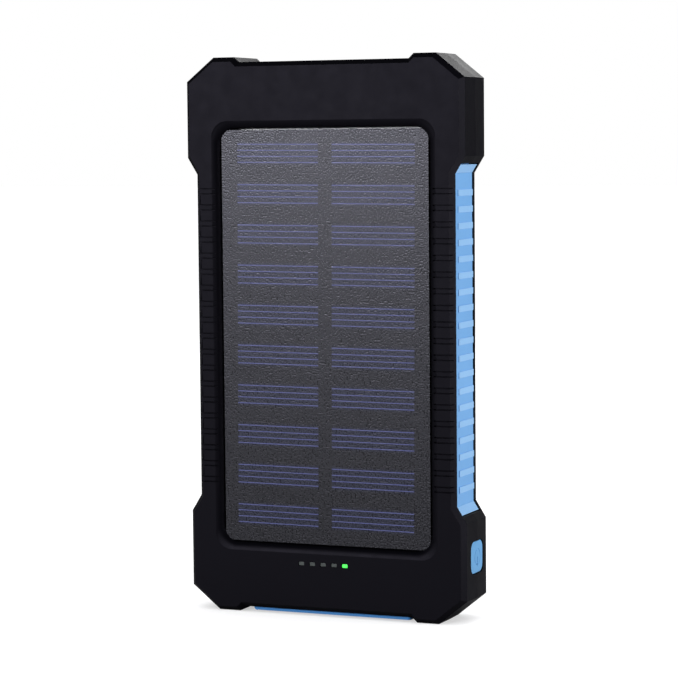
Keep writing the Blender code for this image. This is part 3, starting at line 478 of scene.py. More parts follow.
RUBBER_BLUE = moulded(
    "rubber_blue", (0.125, 0.36, 0.68), (0.15, 0.40, 0.73), 0.48, 0.12, 0.25, specular=0.35
)
BLACK_PLASTIC = moulded(
    "black_moulding", (0.014, 0.014, 0.015), (0.02, 0.02, 0.022), 0.32, 0.05, 0.3
)
WHITE_PLASTIC = moulded(
    "white_moulding", (0.74, 0.73, 0.70), (0.80, 0.79, 0.77), 0.42, 0.05, 0.3
)
FOAM = moulded(
    "foam_tape", (0.05, 0.05, 0.052), (0.09, 0.09, 0.092), 0.9, 0.8, 0.4, specular=0.2
)
FERRITE = moulded("ferrite", (0.05, 0.05, 0.053), (0.08, 0.08, 0.082), 0.62, 0.4, 0.2)
FLAP_BLUE = moulded(
    "flap_blue", (0.05, 0.24, 0.62), (0.06, 0.27, 0.68), 0.5, 0.12, 0.25, specular=0.3
)
RED_SLEEVE = moulded("red_insulation", (0.50, 0.02, 0.015), (0.6, 0.03, 0.02), 0.45, 0.05, 0.3)
BLACK_SLEEVE = moulded(
    "black_insulation", (0.015, 0.015, 0.015), (0.02, 0.02, 0.02), 0.45, 0.05, 0.3
)
print("outer plastics:", [m.name for m in (SOFT_BLACK, FRAME_BLUE, RUBBER_BLUE, FLAP_BLUE)])

# %% Metals, boards and clear plastics
STREAK_SCALE = 9000
STREAK_DEPTH = 0.00002
STAIN_SCALE = 500


def metal(name, dark, light, roughness, streak=(1, 1, 8)):
    """Plated metal with fine drawn streaks in its gloss."""
    made, tree, shader = new_finish(name, dark, roughness, metallic=1.0)
    stretched = node(
        tree, "Mapping", {"Vector": object_place(tree), "Scale": tuple(1 / s for s in streak)}
    ).outputs[0]
    lines = noise(tree, STREAK_SCALE, 2.0, vector=stretched)
    gloss = spread(tree, lines, roughness - 0.06, roughness + 0.1)
    tree.links.new(gloss, shader.inputs["Roughness"])
    stains = spread(tree, noise(tree, STAIN_SCALE, 3.0), 0, 1)
    tree.links.new(mixed(tree, stains, dark, light), shader.inputs["Base Color"])
    bump(tree, shader, lines, 0.08, STREAK_DEPTH)
    return made


STEEL = metal("nickel_plate", (0.50, 0.50, 0.51), (0.64, 0.64, 0.65), 0.26)
GOLD = metal("gold_flash", (0.75, 0.52, 0.20), (0.86, 0.64, 0.30), 0.25)
CHROME = metal("vacuum_chrome", (0.78, 0.78, 0.80), (0.88, 0.88, 0.90), 0.1, streak=(1, 1, 1))
FOIL = metal("battery_foil", (0.46, 0.47, 0.49), (0.58, 0.59, 0.61), 0.38, streak=(1, 1, 1))


TRACK_SCALE = 420.0
TRACK_WIDTH = 0.03
TRACK_DEPTH = 0.00003


def circuit(name, mask, copper):
    """Solder mask over copper tracks that show through as paler, slightly raised lines."""
    made, tree, shader = new_finish(name, mask, 0.35)
    fields = {"Vector": object_place(tree), "Scale": TRACK_SCALE, "Mortar Size": TRACK_WIDTH}
    tracks = node(tree, "TexBrick", {**fields, "Mortar Smooth": 0.1}).outputs["Fac"]
    tree.links.new(mixed(tree, tracks, mask, copper), shader.inputs["Base Color"])
    bump(tree, shader, tracks, 0.3, TRACK_DEPTH)
    return made


BOARD_GREEN = circuit("green_circuit", (0.008, 0.10, 0.035), (0.03, 0.22, 0.08))
BOARD_BLACK = circuit("black_circuit", (0.012, 0.012, 0.013), (0.03, 0.03, 0.032))


FLOW_SCALE = 400


def clear(name, tint, roughness, transmission=0.85):
    """Clear moulded plastic with faint flow marks."""
    made, tree, shader = new_finish(name, tint, roughness)
    shader.inputs["Transmission Weight"].default_value = transmission
    shader.inputs["IOR"].default_value = 1.5
    flow = noise(tree, FLOW_SCALE, 2.0)
    gloss = spread(tree, flow, roughness * 0.7, roughness * 1.5)
    tree.links.new(gloss, shader.inputs["Roughness"])
    bump(tree, shader, flow, 0.05, GRAIN_DEPTH)
    return made


CLEAR = clear("clear_lens", (0.93, 0.95, 0.96), 0.06)
print("metals, boards and lenses ready")

# %% [markdown]
# ## The solar film
#
# The panel is a dark circuit board with rows of silicon cells under a frosted clear film. The film
# scatters light, so it looks like grey grain, and the cells show through as faint violet bands
# with thin bright conductor lines. There are two columns of ten cells, with four lines on each.
# The pattern is worked out from the height and width on the panel: the height is folded into one
# row with a fraction, and the distance to the nearest line gives the line.

# %% Film and cells
PANEL_MIDDLE = HEIGHT / 2 - 0.05
ROWS = 10
ROW_PITCH = 10.1
PRINT_MIDDLE = PANEL_MIDDLE + 0.4
PRINT_TURN = math.radians(-0.5)
LINE_PITCH = 1.5
LINE_HALF = 0.07
CELL_X = (1.85, 23.85)
CELL_HALF_HEIGHT = 2.75
EDGE_BLUR = 0.12
FILM_GREY = (0.0115, 0.0115, 0.013)
CELL_VIOLET = (0.015, 0.018, 0.036)
LINE_VIOLET = (0.16, 0.18, 0.48)
FILM_GRAIN = 2600
FILM_GRAIN_DEPTH = 0.00007


def near_zero(tree, distance, half, blur):
    """One where a distance is under the half width, with a soft edge."""
    return node(
        tree,
        "MapRange",
        {"Value": distance, "From Min": half + blur, "From Max": half - blur},
        interpolation_type="SMOOTHSTEP",
    ).outputs[0]


def solar_film():
    made, tree, shader = new_finish(
        "frosted_solar_film", FILM_GREY, 0.35, specular=0.40, tint=(0.84, 0.84, 1.0)
    )
    turned = node(
        tree,
        "VectorRotate",
        {"Vector": object_place(tree), "Center": place(0, 0, PRINT_MIDDLE), "Angle": PRINT_TURN},
        rotation_type="Y_AXIS",
    )
    axes = node(tree, "SeparateXYZ", {"Vector": turned.outputs[0]})
    across = math_node(tree, "ABSOLUTE", math_node(tree, "DIVIDE", axes.outputs[0], MM))
    height = math_node(tree, "DIVIDE", axes.outputs[2], MM)
    from_middle = math_node(tree, "SUBTRACT", height, PRINT_MIDDLE)
    row = math_node(tree, "FRACT", math_node(tree, "DIVIDE", from_middle, ROW_PITCH))
    in_row = math_node(tree, "MULTIPLY", math_node(tree, "SUBTRACT", row, 0.5), ROW_PITCH)
    from_row = math_node(tree, "ABSOLUTE", in_row)

    off_middle = math_node(tree, "ABSOLUTE", from_middle)
    in_rows = near_zero(tree, off_middle, ROWS * ROW_PITCH / 2, 0.05)
    column_middle = sum(CELL_X) / 2
    column_half = (CELL_X[1] - CELL_X[0]) / 2
    from_column = math_node(tree, "ABSOLUTE", math_node(tree, "SUBTRACT", across, column_middle))
    in_column = near_zero(tree, from_column, column_half, EDGE_BLUR)
    cell_edge = near_zero(tree, from_row, CELL_HALF_HEIGHT, 0.5)
    cell = math_node(tree, "MULTIPLY", in_column, cell_edge)
    cell = math_node(tree, "MULTIPLY", cell, in_rows)

    line_phase = math_node(tree, "FRACT", math_node(tree, "DIVIDE", in_row, LINE_PITCH))
    off_line = math_node(tree, "ABSOLUTE", math_node(tree, "SUBTRACT", line_phase, 0.5))
    from_line = math_node(tree, "MULTIPLY", off_line, LINE_PITCH)
    lines = near_zero(tree, from_line, LINE_HALF, EDGE_BLUR)
    in_cell = near_zero(tree, from_row, 2 * LINE_PITCH, 0.02)
    lines = math_node(tree, "MULTIPLY", lines, in_cell)
    lines = math_node(tree, "MULTIPLY", lines, math_node(tree, "MULTIPLY", in_column, in_rows))

    grain = noise(tree, FILM_GRAIN, 0.5, 0.5)
    coarse = noise(tree, PEEL_SCALE, 2.0)
    base = mixed(tree, cell, FILM_GREY, CELL_VIOLET)
    speckle = spread(tree, grain, 0.3, 1.7)
    speckled = node(
        tree, "VectorMath", {0: base, "Scale": speckle}, operation="SCALE"
    ).outputs["Vector"]
    printed = mixed(tree, lines, speckled, LINE_VIOLET)
    tree.links.new(printed, shader.inputs["Base Color"])
    patches = math_node(tree, "MULTIPLY", coarse, 0.05)
    frosted = math_node(tree, "ADD", spread(tree, grain, 0.20, 0.42), patches)
    tree.links.new(frosted, shader.inputs["Roughness"])
    bump(tree, shader, grain, 1.0, FILM_GRAIN_DEPTH)
    return made


def silicon(dark, light, crystal_scale):
    """Polycrystalline silicon: small crystals in shades of one colour."""
    made, tree, shader = new_finish("silicon_cell", dark, 0.22)
    crystal = node(tree, "TexVoronoi", {"Vector": object_place(tree), "Scale": crystal_scale})
    shades = mixed(tree, crystal.outputs["Distance"], dark, light)
    tree.links.new(shades, shader.inputs["Base Color"])
    return made


SOLAR_FILM = solar_film()
SILICON = silicon((0.02, 0.02, 0.06), (0.05, 0.05, 0.13), 700.0)
print("film:", ROWS, "rows of", 2 * CELL_HALF_HEIGHT, "mm")

# %% [markdown]
# ### The indicator lights
#
# Five small windows in a row tell how full the battery is. Four are off, and show the grey of the
# light guide behind them. The fifth is lit. A lit window is hottest over its diode, so its finish
# glows and turns to a deeper green with the distance from its middle.

# %% Lights that are on and off
LIGHT_PITCH = 2.96
LIGHT_MIDDLE = -0.6
LIGHT_Z = 13.2
LIGHT_HALF = (0.8, 0.52)
light_places = [LIGHT_MIDDLE + LIGHT_PITCH * (n - 2) for n in range(5)]
LIT_X = light_places[4]
LIT_REACH = 0.95
UNLIT = clear("unlit_window", (0.10, 0.12, 0.12), 0.3, transmission=0.35)


def glowing(name, core, rim, strength, centre, reach):
    """A lit window: hottest in its middle and deeper in colour at its rim."""
    made, tree, shader = new_finish(name, rim, 0.3)
    from_core = node(
        tree, "VectorMath", {0: object_place(tree), 1: centre}, operation="DISTANCE"
    ).outputs["Value"]
    outwards = math_node(tree, "DIVIDE", from_core, reach * MM)
    uneven = spread(tree, noise(tree, 1800, 2.0), -0.1, 0.25)
    amount = math_node(tree, "ADD", math_node(tree, "POWER", outwards, 2.0), uneven, clamp=True)
    tree.links.new(mixed(tree, amount, core, rim), shader.inputs["Emission Color"])
    shader.inputs["Emission Strength"].default_value = strength
    return made


LIT_GREEN = glowing(
    "lit_green",
    (0.16, 0.95, 0.20),
    (0.005, 0.60, 0.02),
    1.1,
    place(LIT_X, 0.2, LIGHT_Z),
    LIT_REACH,
)
print("indicator windows:", len(light_places), "and the lit one is at", round(LIT_X, 2), "mm")

# %% Finishes for the working parts
FINISH_OF = {
    "cover_black": SOFT_BLACK,
    "frame_blue": FRAME_BLUE,
    "rubber_blue": RUBBER_BLUE,
    "panel_laminate": SOLAR_FILM,
    "solar_cell": SILICON,
    "panel_board": BOARD_BLACK,
    "circuit_board": BOARD_GREEN,
    "plated_steel": STEEL,
    "contact_gold": GOLD,
    "white_plastic": WHITE_PLASTIC,
    "black_plastic": BLACK_PLASTIC,
    "ferrite": FERRITE,
    "battery_foil": FOIL,
    "foam_tape": FOAM,
    "red_wire": RED_SLEEVE,
    "black_wire": BLACK_SLEEVE,
    "clear_plastic": CLEAR,
    "reflector_chrome": CHROME,
    "led_green": LIT_GREEN,
}
slot_of = {part["node"]: part["material_slot"] for part in frame["record"]["subparts"]}
for name, part in frame["nodes"].items():
    part.data.materials.clear()
    part.data.materials.append(FINISH_OF[slot_of[name]])
print("finished", len(slot_of), "working parts")


def put_on(piece, finish, body, slot, *nodes):
    """Gives a piece its finish and its body, and lets it stand for working parts."""
    piece.data.materials.clear()
    piece.data.materials.append(finish)
    for face in piece.data.polygons:
        face.material_index = 0
    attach(piece, body)
    if nodes:
        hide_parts(*nodes)
    report(piece)


# %% [markdown]
# ## The two covers
#
# Both covers are the case outline given a depth, with a chamfer round the outer face. They could
# be cut from a block with planes, but the outline is simpler to draw once and extrude. The rim is
# bevelled to make the chamfer, the outer end is drawn in slightly so that the parting line is the
# widest place, and a smaller slab is cut out to leave the wall. Everything else is carved.

# %% Grip bars and the places they share
GRIP_COUNT = 19
GRIP_PITCH = 4.05
GRIP_LOW = HEIGHT / 2 - GRIP_PITCH * (GRIP_COUNT - 1) / 2
grip_heights = [GRIP_LOW + GRIP_PITCH * n for n in range(GRIP_COUNT)]
pad_heights = [z + GRIP_PITCH / 2 for z in grip_heights[:-1]]
DRAFT = 0.2
print("grips from", round(grip_heights[0], 2), "to", round(grip_heights[-1], 2), "mm up")


def cover(name, face, parting):
    """A hollow half of the case. Its outer face is at one depth and its open side at the other."""
    inwards = 1 if parting > face else -1
    shell = slab(name, CASE, face, parting)
    pick(shell, "EDGE", lambda corners: same(corners, Y, face))
    bpy.ops.mesh.bevel(offset=CHAMFER * MM, segments=1, affect="EDGES")
    done()
    pick(shell, "VERT", lambda corners: same(corners, Y, face + inwards * CHAMFER))
    bpy.ops.transform.translate(value=(0, inwards * (CHAMFER_DEPTH - CHAMFER) * MM, 0))
    done()
    pick(shell, "VERT", lambda corners: abs(corners[0][Y] - parting) > 1)
    bpy.ops.transform.resize(
        value=(1 - DRAFT / HALF_WIDTH, 1, 1), center_override=place(0, PARTING, HEIGHT / 2)
    )
    done()
    inner = drawn_in(CASE, WALL + 0.1)
    carve(shell, slab(name + "_hollow", inner, face + inwards * WALL, parting + inwards))
    return shell


SEAM = 0.01
PAD_X = (29.35, 33.35)
PAD_HALF = 1.53
PAD_STEP = 0.2
RING_DEPTH = 0.16
GROOVE = 0.3
GROOVE_DEPTH = 0.9
NOTCH_END = 34.3


def mirrored_shifts(x, heights):
    """Shifts that repeat a shape at every height on the right, and again on the left."""
    return [(side_shift, 0, z) for side_shift in (0, -x[0] - x[1]) for z in heights]


def pad_rings(depth):
    """Cutters for the faint outline of each pad, open at its outer end: made once and copied."""
    outer = rounded_block("ring", PAD_X, depth, (-PAD_HALF, PAD_HALF), 0.3, segments=2)
    core_x = (PAD_X[0] + PAD_STEP, PAD_X[1] + 1)
    core_z = (-PAD_HALF + PAD_STEP, PAD_HALF - PAD_STEP)
    core_depth = (depth[0] - 1, depth[1] + 1)
    carve(outer, rounded_block("core", core_x, core_depth, core_z, 0.2, segments=2))
    return copies(outer, mirrored_shifts(PAD_X, pad_heights))


def bar_grooves(depth):
    """Cutters for the grooves above and below each bar, which run on over the chamfer."""
    x = (PAD_X[0] - 0.1, NOTCH_END)
    low = block("bar_groove", x, depth, (-PAD_HALF - 0.02, -PAD_HALF + GROOVE))
    rise = 2 * PAD_HALF - GROOVE + 0.02
    heights = [z + step for z in pad_heights for step in (0, rise)]
    heights += [min(pad_heights) - GRIP_PITCH + rise, max(pad_heights) + GRIP_PITCH]
    return copies(low, mirrored_shifts(x, heights))


# %% Openings that both covers share
SHOWN_END = 26.85
WAIST_X = (32.4, 40)


def waist_openings(depth):
    opening = block("waist_opening", WAIST_X, depth, (SHOWN_END, HEIGHT - SHOWN_END))
    return copies(opening, mirrored_shifts(WAIST_X, (0,)))


button_low, button_high = limits("power_button")
KEY_DEPTH = 8.4
KEY_Z = 16.1
KEY_HALF = (4.2, 3.9)
KEY_GAP = 0.25
KEY_CORNER = 2.0
PORT_X = (-22.5, 22.2)
PORT_DEPTH = (2.1, 14.4)


def key_opening():
    return rounded_block(
        "key_opening",
        (34, 40),
        (KEY_DEPTH - KEY_HALF[0] - KEY_GAP, KEY_DEPTH + KEY_HALF[0] + KEY_GAP),
        (KEY_Z - KEY_HALF[1] - KEY_GAP, KEY_Z + KEY_HALF[1] + KEY_GAP),
        KEY_CORNER + 0.2,
        axis=X,
    )


def port_opening():
    return block("port_opening", PORT_X, PORT_DEPTH, (-1, 4))


# %% [markdown]
# ### Front cover
#
# The window for the panel has a dished edge: a rounded rectangle that shrinks in steps as it goes
# deeper. It is made by extruding one face and scaling it, several times over. Below the window
# five small holes show the indicator lights.

# %% Window and light holes
WINDOW_HALF = 28.1
WINDOW_END = 6.0
FILM_CORNER = 2.4
SKIN = 0.001
DISH = ((0.0, 2.0), (0.1, 1.5), (0.3, 0.95), (0.65, 0.5), (1.3, 0.15))
film_low, film_high = limits("panel_laminate")
FILM_DEPTH = film_low.y + DEPTH / 2
WINDOW_Z = (film_low.z - 0.3, film_high.z + 0.3)
WINDOW_MIDDLE = sum(WINDOW_Z) / 2


def window_cutter():
    reach = DISH[0][1]
    cutter = rounded_block(
        "window",
        (-WINDOW_HALF - reach, WINDOW_HALF + reach),
        (-0.5, DISH[0][0] + SKIN),
        (WINDOW_Z[0] - reach, WINDOW_Z[1] + reach),
        FILM_CORNER + reach,
        segments=10,
    )
    half_height = (WINDOW_Z[1] - WINDOW_Z[0]) / 2
    last_depth, last_reach = DISH[0][0] + SKIN, reach
    for depth, reach in DISH[1:] + ((WINDOW_END, 0.0),):
        pick(cutter, "FACE", lambda corners: same(corners, Y, last_depth, 0.0005))
        bpy.ops.mesh.extrude_region_move(
            TRANSFORM_OT_translate={"value": (0, (depth - last_depth) * MM, 0)}
        )
        wide = (WINDOW_HALF + reach) / (WINDOW_HALF + last_reach)
        tall = (half_height + reach) / (half_height + last_reach)
        middle = place(0, depth, WINDOW_MIDDLE)
        bpy.ops.transform.resize(value=(wide, 1, tall), center_override=middle)
        done()
        last_depth, last_reach = depth, reach
    return cutter


def light_holes():
    hole = rounded_block(
        "light_hole",
        (-LIGHT_HALF[0], LIGHT_HALF[0]),
        (-1, 3),
        (LIGHT_Z - LIGHT_HALF[1], LIGHT_Z + LIGHT_HALF[1]),
        0.25,
        segments=3,
    )
    return copies(hole, [(x, 0, 0) for x in light_places])


# %% Front cover
TRAY_WALL = 1.5
TRAY_DEPTH = (1.0, 4.6)
WAIST_DEPTH = (1.55, 13.95)
front = cover("front_case", 0.0, PARTING - SEAM)
tray_x = (-WINDOW_HALF - TRAY_WALL, WINDOW_HALF + TRAY_WALL)
tray_z = (WINDOW_Z[0] - TRAY_WALL, WINDOW_Z[1] + TRAY_WALL)
fuse(front, rounded_block("tray", tray_x, TRAY_DEPTH, tray_z, 3.5, segments=6))
carve(front, window_cutter())
carve(front, waist_openings((WAIST_DEPTH[0], PARTING + 1)), key_opening(), port_opening())
carve(front, light_holes(), pad_rings((-1, RING_DEPTH)), bar_grooves((-1, GROOVE_DEPTH)))
soften(front, 0.22, 3)
put_on(front, SOFT_BLACK, "case", "cover_black", "front_cover")

# %% Rear cover
BOSSES = [(side * 29.6, z) for side in (-1, 1) for z in (9.0, HEIGHT - 9.0)]
TORCH_X = -23.0
TORCH_Z = (10.5, 18.0)
TORCH_HALF = 3.8
WELL_RADIUS = 2.7
WELL_FLOOR = (12.7, 13.3)
BORE_RADIUS = 1.95
LABEL_X = (-26, 26)
LABEL_Z = (40, 122)
LABEL_DEPTH = 0.35
OUTSIDE = DEPTH + 1
rear = cover("rear_case", DEPTH, PARTING + SEAM)
for x, z in BOSSES:
    fuse(rear, rod("well", WELL_RADIUS, (x, z), Y, WELL_FLOOR[0], DEPTH - 0.9))
    carve(rear, rod("bore", BORE_RADIUS, (x, z), Y, WELL_FLOOR[1], OUTSIDE))
    carve(rear, rod("hole", 1.1, (x, z), Y, 11, 14, sides=16))
torch_x = (TORCH_X - TORCH_HALF, TORCH_X + TORCH_HALF)
torch_z = (TORCH_Z[0] - TORCH_HALF, TORCH_Z[1] + TORCH_HALF)
carve(rear, rounded_block("torch_hole", torch_x, (13, OUTSIDE), torch_z, 3.7, segments=12))
carve(rear, rounded_block("label", LABEL_X, (DEPTH - LABEL_DEPTH, OUTSIDE), LABEL_Z, 3.0))
carve(rear, waist_openings((PARTING - 1, WAIST_DEPTH[1])), key_opening(), port_opening())
carve(rear, pad_rings((DEPTH - RING_DEPTH, OUTSIDE)), bar_grooves((DEPTH - GROOVE_DEPTH, OUTSIDE)))
soften(rear, 0.22, 3)
put_on(rear, SOFT_BLACK, "case", "cover_black", "rear_cover")

# %% [markdown]
# ## The blue frame
# A ring of light blue plastic between the covers. It shows only along the waist: a smooth rim at
# the front, then a band of ribs that fingers can hold. The ribs could be cut as grooves in a
# thicker ring, but it is simpler to shape one low bar, round off its lower edge and copy it down
# both sides. The ground between the ribs gets painted shade, so it is darker than the ribs. The
# ribs get rubbed bright in use and the ground between them stays darker.

# %% Frame ring
FRAME_DEPTH = (1.85, 13.65)
FRAME_SIDE = 34.56
RIB_FACE = 34.76
INSIDE_X = 32.7
INSIDE_Z = 5.0


def on_slope(first, second, z):
    return first[0] + (second[0] - first[0]) * (z - first[1]) / (second[1] - first[1])


hidden = drawn_in(CASE, WALL + 0.35)
shoulder = SHOWN_END + 0.3
bulge = (FRAME_SIDE + HALF_WIDTH - WAIST, BUMPER_TOP)
waist = (FRAME_SIDE, WAIST_START)
frame_outline = all_round(
    hidden[:5]
    + [
        (on_slope(hidden[4], hidden[5], shoulder), shoulder),
        (on_slope(bulge, waist, shoulder), shoulder),
        waist,
    ]
)
ring = slab("blue_frame", frame_outline, *FRAME_DEPTH)
corner = drawn_in(CASE, 3.7)[2:4]
lean = (corner[1][1] - corner[0][1]) / (corner[1][0] - corner[0][0])
inner = all_round(
    [
        (corner[0][0] + (INSIDE_Z - corner[0][1]) / lean, INSIDE_Z),
        (INSIDE_X, corner[1][1] + lean * (INSIDE_X - corner[1][0])),
    ]
)
carve(ring, slab("frame_inside", inner, 0, DEPTH))
TRIM_END = SHOWN_END + 0.1
for z in ((-1, TRIM_END), (HEIGHT - SHOWN_END - 0.1, HEIGHT + 1)):
    carve(ring, block("trim", (-HALF_WIDTH, HALF_WIDTH), (0, 2.1), z))
print("frame ring", closed(ring), "open edges")

# %% Ribs
RIB_BAND = (3.4, FRAME_DEPTH[1] - 0.02)
RIB_DROP = 0.5
RIB_HALF = 0.8
RIB_EDGE = 0.15
# Painted shade: the colour that darkens the grooves between the ribs.
RIB_GROOVE_SHADE = (0.62, 0.78, 0.90)
rib = block("rib", (33.6, RIB_FACE), RIB_BAND, (-RIB_HALF, RIB_HALF))
pick(rib, "EDGE", lambda corners: same(corners, X, RIB_FACE) and same(corners, Z, -RIB_HALF))
bpy.ops.mesh.bevel(offset=RIB_EDGE * MM, segments=2, affect="EDGES")
done()
right_ribs = copies(rib, [(0, 0, z - RIB_DROP) for z in grip_heights])
left_ribs = right_ribs.copy()
left_ribs.data = right_ribs.data.copy()
bpy.context.collection.objects.link(left_ribs)
take(left_ribs)
bpy.ops.object.mode_set(mode="EDIT")
bpy.ops.mesh.select_all(action="SELECT")
bpy.ops.transform.resize(value=(-1, 1, 1), center_override=(0, 0, 0))
bpy.ops.mesh.flip_normals()
done()
fuse(ring, right_ribs, left_ribs)
print("ribs on the frame:", 2 * GRIP_COUNT)

# %% Sockets and the button's place in the frame
LEDGE_X = (28.4, 33.9)
SOCKET_GAP = 0.3
FLANGE_ROOM = 5
ledge = block("ledge", LEDGE_X, (6.5, 10.5), (19.5, 24.5))
fuse(ring, copies(ledge, mirrored_shifts(LEDGE_X, (0,))))
fuse(ring, block("platform", (PORT_X[0] + 0.3, PORT_X[1] - 0.3), (2.4, 13.6), (2.1, 4.8)))
usb_low, usb_high = limits("usb_shell_left")
micro_low, micro_high = limits("micro_usb_shell")
for low, high in ((usb_low, usb_high), (micro_low, micro_high)):
    for side in (-1, 1):
        x = sorted((side * (low.x - SOCKET_GAP), side * (high.x + SOCKET_GAP)))
        depth = (low.y + DEPTH / 2 - SOCKET_GAP, high.y + DEPTH / 2 + SOCKET_GAP)
        carve(ring, rounded_block("socket_hole", x, depth, (1, 7), 0.6, axis=Z, segments=3))
flange_z = (KEY_Z - FLANGE_ROOM, KEY_Z + FLANGE_ROOM)
carve(ring, block("flange_hole", (32, 38), (3.1, 13.7), flange_z))
carve(ring, block("anchor_hole", (-22.4, -21.0), (7.0, 9.8), (1, 7)))
soften(ring, 0.12, 2)
# Painted shade: the frame's blue is made darker in the grooves between the ribs.
paint_rib_groove_shade(FRAME_BLUE, (FRAME_SIDE + RIB_FACE) / 2, RIB_GROOVE_SHADE)
put_on(ring, FRAME_BLUE, "case", "frame_blue", "mid_frame")

# %% [markdown]
# ## The panel and the lights
#
# The film is a thin plate with rounded corners and square-cut edges. The light guide is one
# clear moulding with posts that reach the surface. The right-hand window is lit, so it is a
# piece of its own with a glowing finish, and four posts are left on the guide.

# %% Film
film = rounded_block(
    "solar_film",
    (film_low.x, film_high.x),
    (FILM_DEPTH, film_high.y + DEPTH / 2),
    (film_low.z, film_high.z),
    FILM_CORNER,
    segments=12,
)
put_on(film, SOLAR_FILM, "case", "panel_laminate", "panel_laminate")

# %% Light guide and the lit window
guide_low, guide_high = limits("light_guide")
guide_z = (guide_low.z, guide_high.z)
guide = block("light_guide_moulding", (guide_low.x, guide_high.x), (2.1, 3.6), guide_z)
POST_GAP = 0.08


def light_post(name, depth):
    return rounded_block(
        name,
        (-LIGHT_HALF[0] + POST_GAP, LIGHT_HALF[0] - POST_GAP),
        depth,
        (LIGHT_Z - LIGHT_HALF[1] + POST_GAP, LIGHT_Z + LIGHT_HALF[1] - POST_GAP),
        0.2,
        segments=3,
    )


fuse(guide, copies(light_post("posts", (0.25, 4.0)), [(x, 0, 0) for x in light_places[:4]]))
soften(guide, 0.06, 2)
put_on(guide, UNLIT, "case", "clear_plastic", "light_guide")
lit = copies(light_post("lit_window", (0.12, 2.0)), [(LIT_X, 0, 0)])
lit.name = "lit_window"
soften(lit, 0.12, 3)
put_on(lit, LIT_GREEN, "case", "led_green")

# %% [markdown]
# ## The power key
#
# A soft blue key in the right side. Its face is inset and pushed out to make a low dome, and the
# usual power sign, a ring with a stroke through a gap in it, is engraved in it.

# %% Power key
DOME = ((0.35, 0.12), (0.6, 0.09), (0.9, 0.04))
SIGN_RADIUS = 1.95
SIGN_LINE = 0.17
SIGN_GAP = 0.65
key_face = button_high.x - 0.25
key = rounded_block(
    "power_key",
    (button_low.x + 0.9, key_face),
    (KEY_DEPTH - KEY_HALF[0], KEY_DEPTH + KEY_HALF[0]),
    (KEY_Z - KEY_HALF[1], KEY_Z + KEY_HALF[1]),
    KEY_CORNER,
    axis=X,
)
for inset, rise in DOME:
    pick(key, "FACE", lambda corners: same(corners, X, key_face, 0.01))
    bpy.ops.mesh.inset(thickness=inset * MM, depth=rise * MM)
    done()
    key_face += rise
flange = block("flange", (button_low.x + 0.6, button_low.x + 1.6), (3.4, 13.4), (10.9, 20.3))
stem = rod("stem", 1.6, (KEY_DEPTH, KEY_Z), X, button_low.x, button_low.x + 1.2)
fuse(key, flange, stem)
start_fresh()
bpy.ops.mesh.primitive_torus_add(
    major_radius=SIGN_RADIUS * MM,
    minor_radius=SIGN_LINE * MM,
    major_segments=48,
    minor_segments=8,
    location=place(key_face, KEY_DEPTH, KEY_Z),
    rotation=TURN[X],
)
sign = bpy.context.object
bpy.ops.object.transform_apply(location=True, rotation=True, scale=True)
gap_depth = (KEY_DEPTH - SIGN_GAP, KEY_DEPTH + SIGN_GAP)
carve(sign, block("sign_gap", (34, 40), gap_depth, (KEY_Z - 3, KEY_Z - 1)))
stroke = rounded_block(
    "stroke",
    (key_face - SIGN_LINE, key_face + 1),
    (KEY_DEPTH - SIGN_LINE, KEY_DEPTH + SIGN_LINE),
    (KEY_Z - 2.2, KEY_Z + 0.1),
    0.12,
    axis=X,
    segments=2,
)
carve(key, sign, stroke)
soften(key, 0.06, 2, angle=35)
put_on(key, RUBBER_BLUE, "power_button", "rubber_blue", "power_button")

# %% [markdown]
# ## The port cover
#
# A flap of blue rubber over the sockets. It hinges on a thin line at its left end, three low plugs
# hold it in the sockets, and a lip at its free end gives a fingernail something to pull.

# %% Port cover
flap_low, flap_high = limits("port_cover")
HINGE_X = -19.9
HINGE_Z = 1.05
HINGE_RADIUS = 0.8
FLAP_Z = (0.3, 1.8)
# Each plug: its place across, its place in depth, half its length, half its thickness, its height.
PLUGS = (
    (-12.2, 9.2, 5.7, 2.0, 1.3),
    (12.2, 9.2, 5.7, 2.0, 1.3),
    (0.0, 7.65, 2.8, 0.7, 1.0),
)
flap_depth = (flap_low.y + DEPTH / 2, flap_high.y + DEPTH / 2)
flap = rounded_block("port_flap", (HINGE_X, flap_high.x), flap_depth, FLAP_Z, 0.8, axis=Z)
fuse(flap, rod("barrel", HINGE_RADIUS, (HINGE_X, HINGE_Z), Y, *flap_depth))
for x, middle, half_x, half_depth, rise in PLUGS:
    plug_x = (x - half_x, x + half_x)
    plug_depth = (middle - half_depth, middle + half_depth)
    plug_z = (1.4, FLAP_Z[1] + rise)
    fuse(flap, rounded_block("plug", plug_x, plug_depth, plug_z, 0.5, axis=Z, segments=4))
carve(flap, rounded_block("nail_groove", (18.4, 20.2), (5.0, 11.5), (0.0, 0.6), 0.8, axis=Z))
soften(flap, 0.15, 3)
put_on(flap, FLAP_BLUE, "port_cover", "rubber_blue", "port_cover")

# %% [markdown]
# ## Torch and screws
#
# The back of the case holds a small torch: two clear lamps in a bright reflector behind a lens.
# Four cross-head screws sit deep in wells at the corners. One screw is shaped from a rod and
# cut, then copied.

# %% Torch
lens_low, lens_high = limits("torch_lens")
lens = rounded_block(
    "torch_window",
    (lens_low.x, lens_high.x),
    (lens_low.y + DEPTH / 2, lens_high.y + DEPTH / 2),
    (lens_low.z, lens_high.z),
    3.5,
    segments=12,
)
soften(lens, 0.3, 3)
put_on(lens, CLEAR, "case", "clear_plastic", "torch_lens")

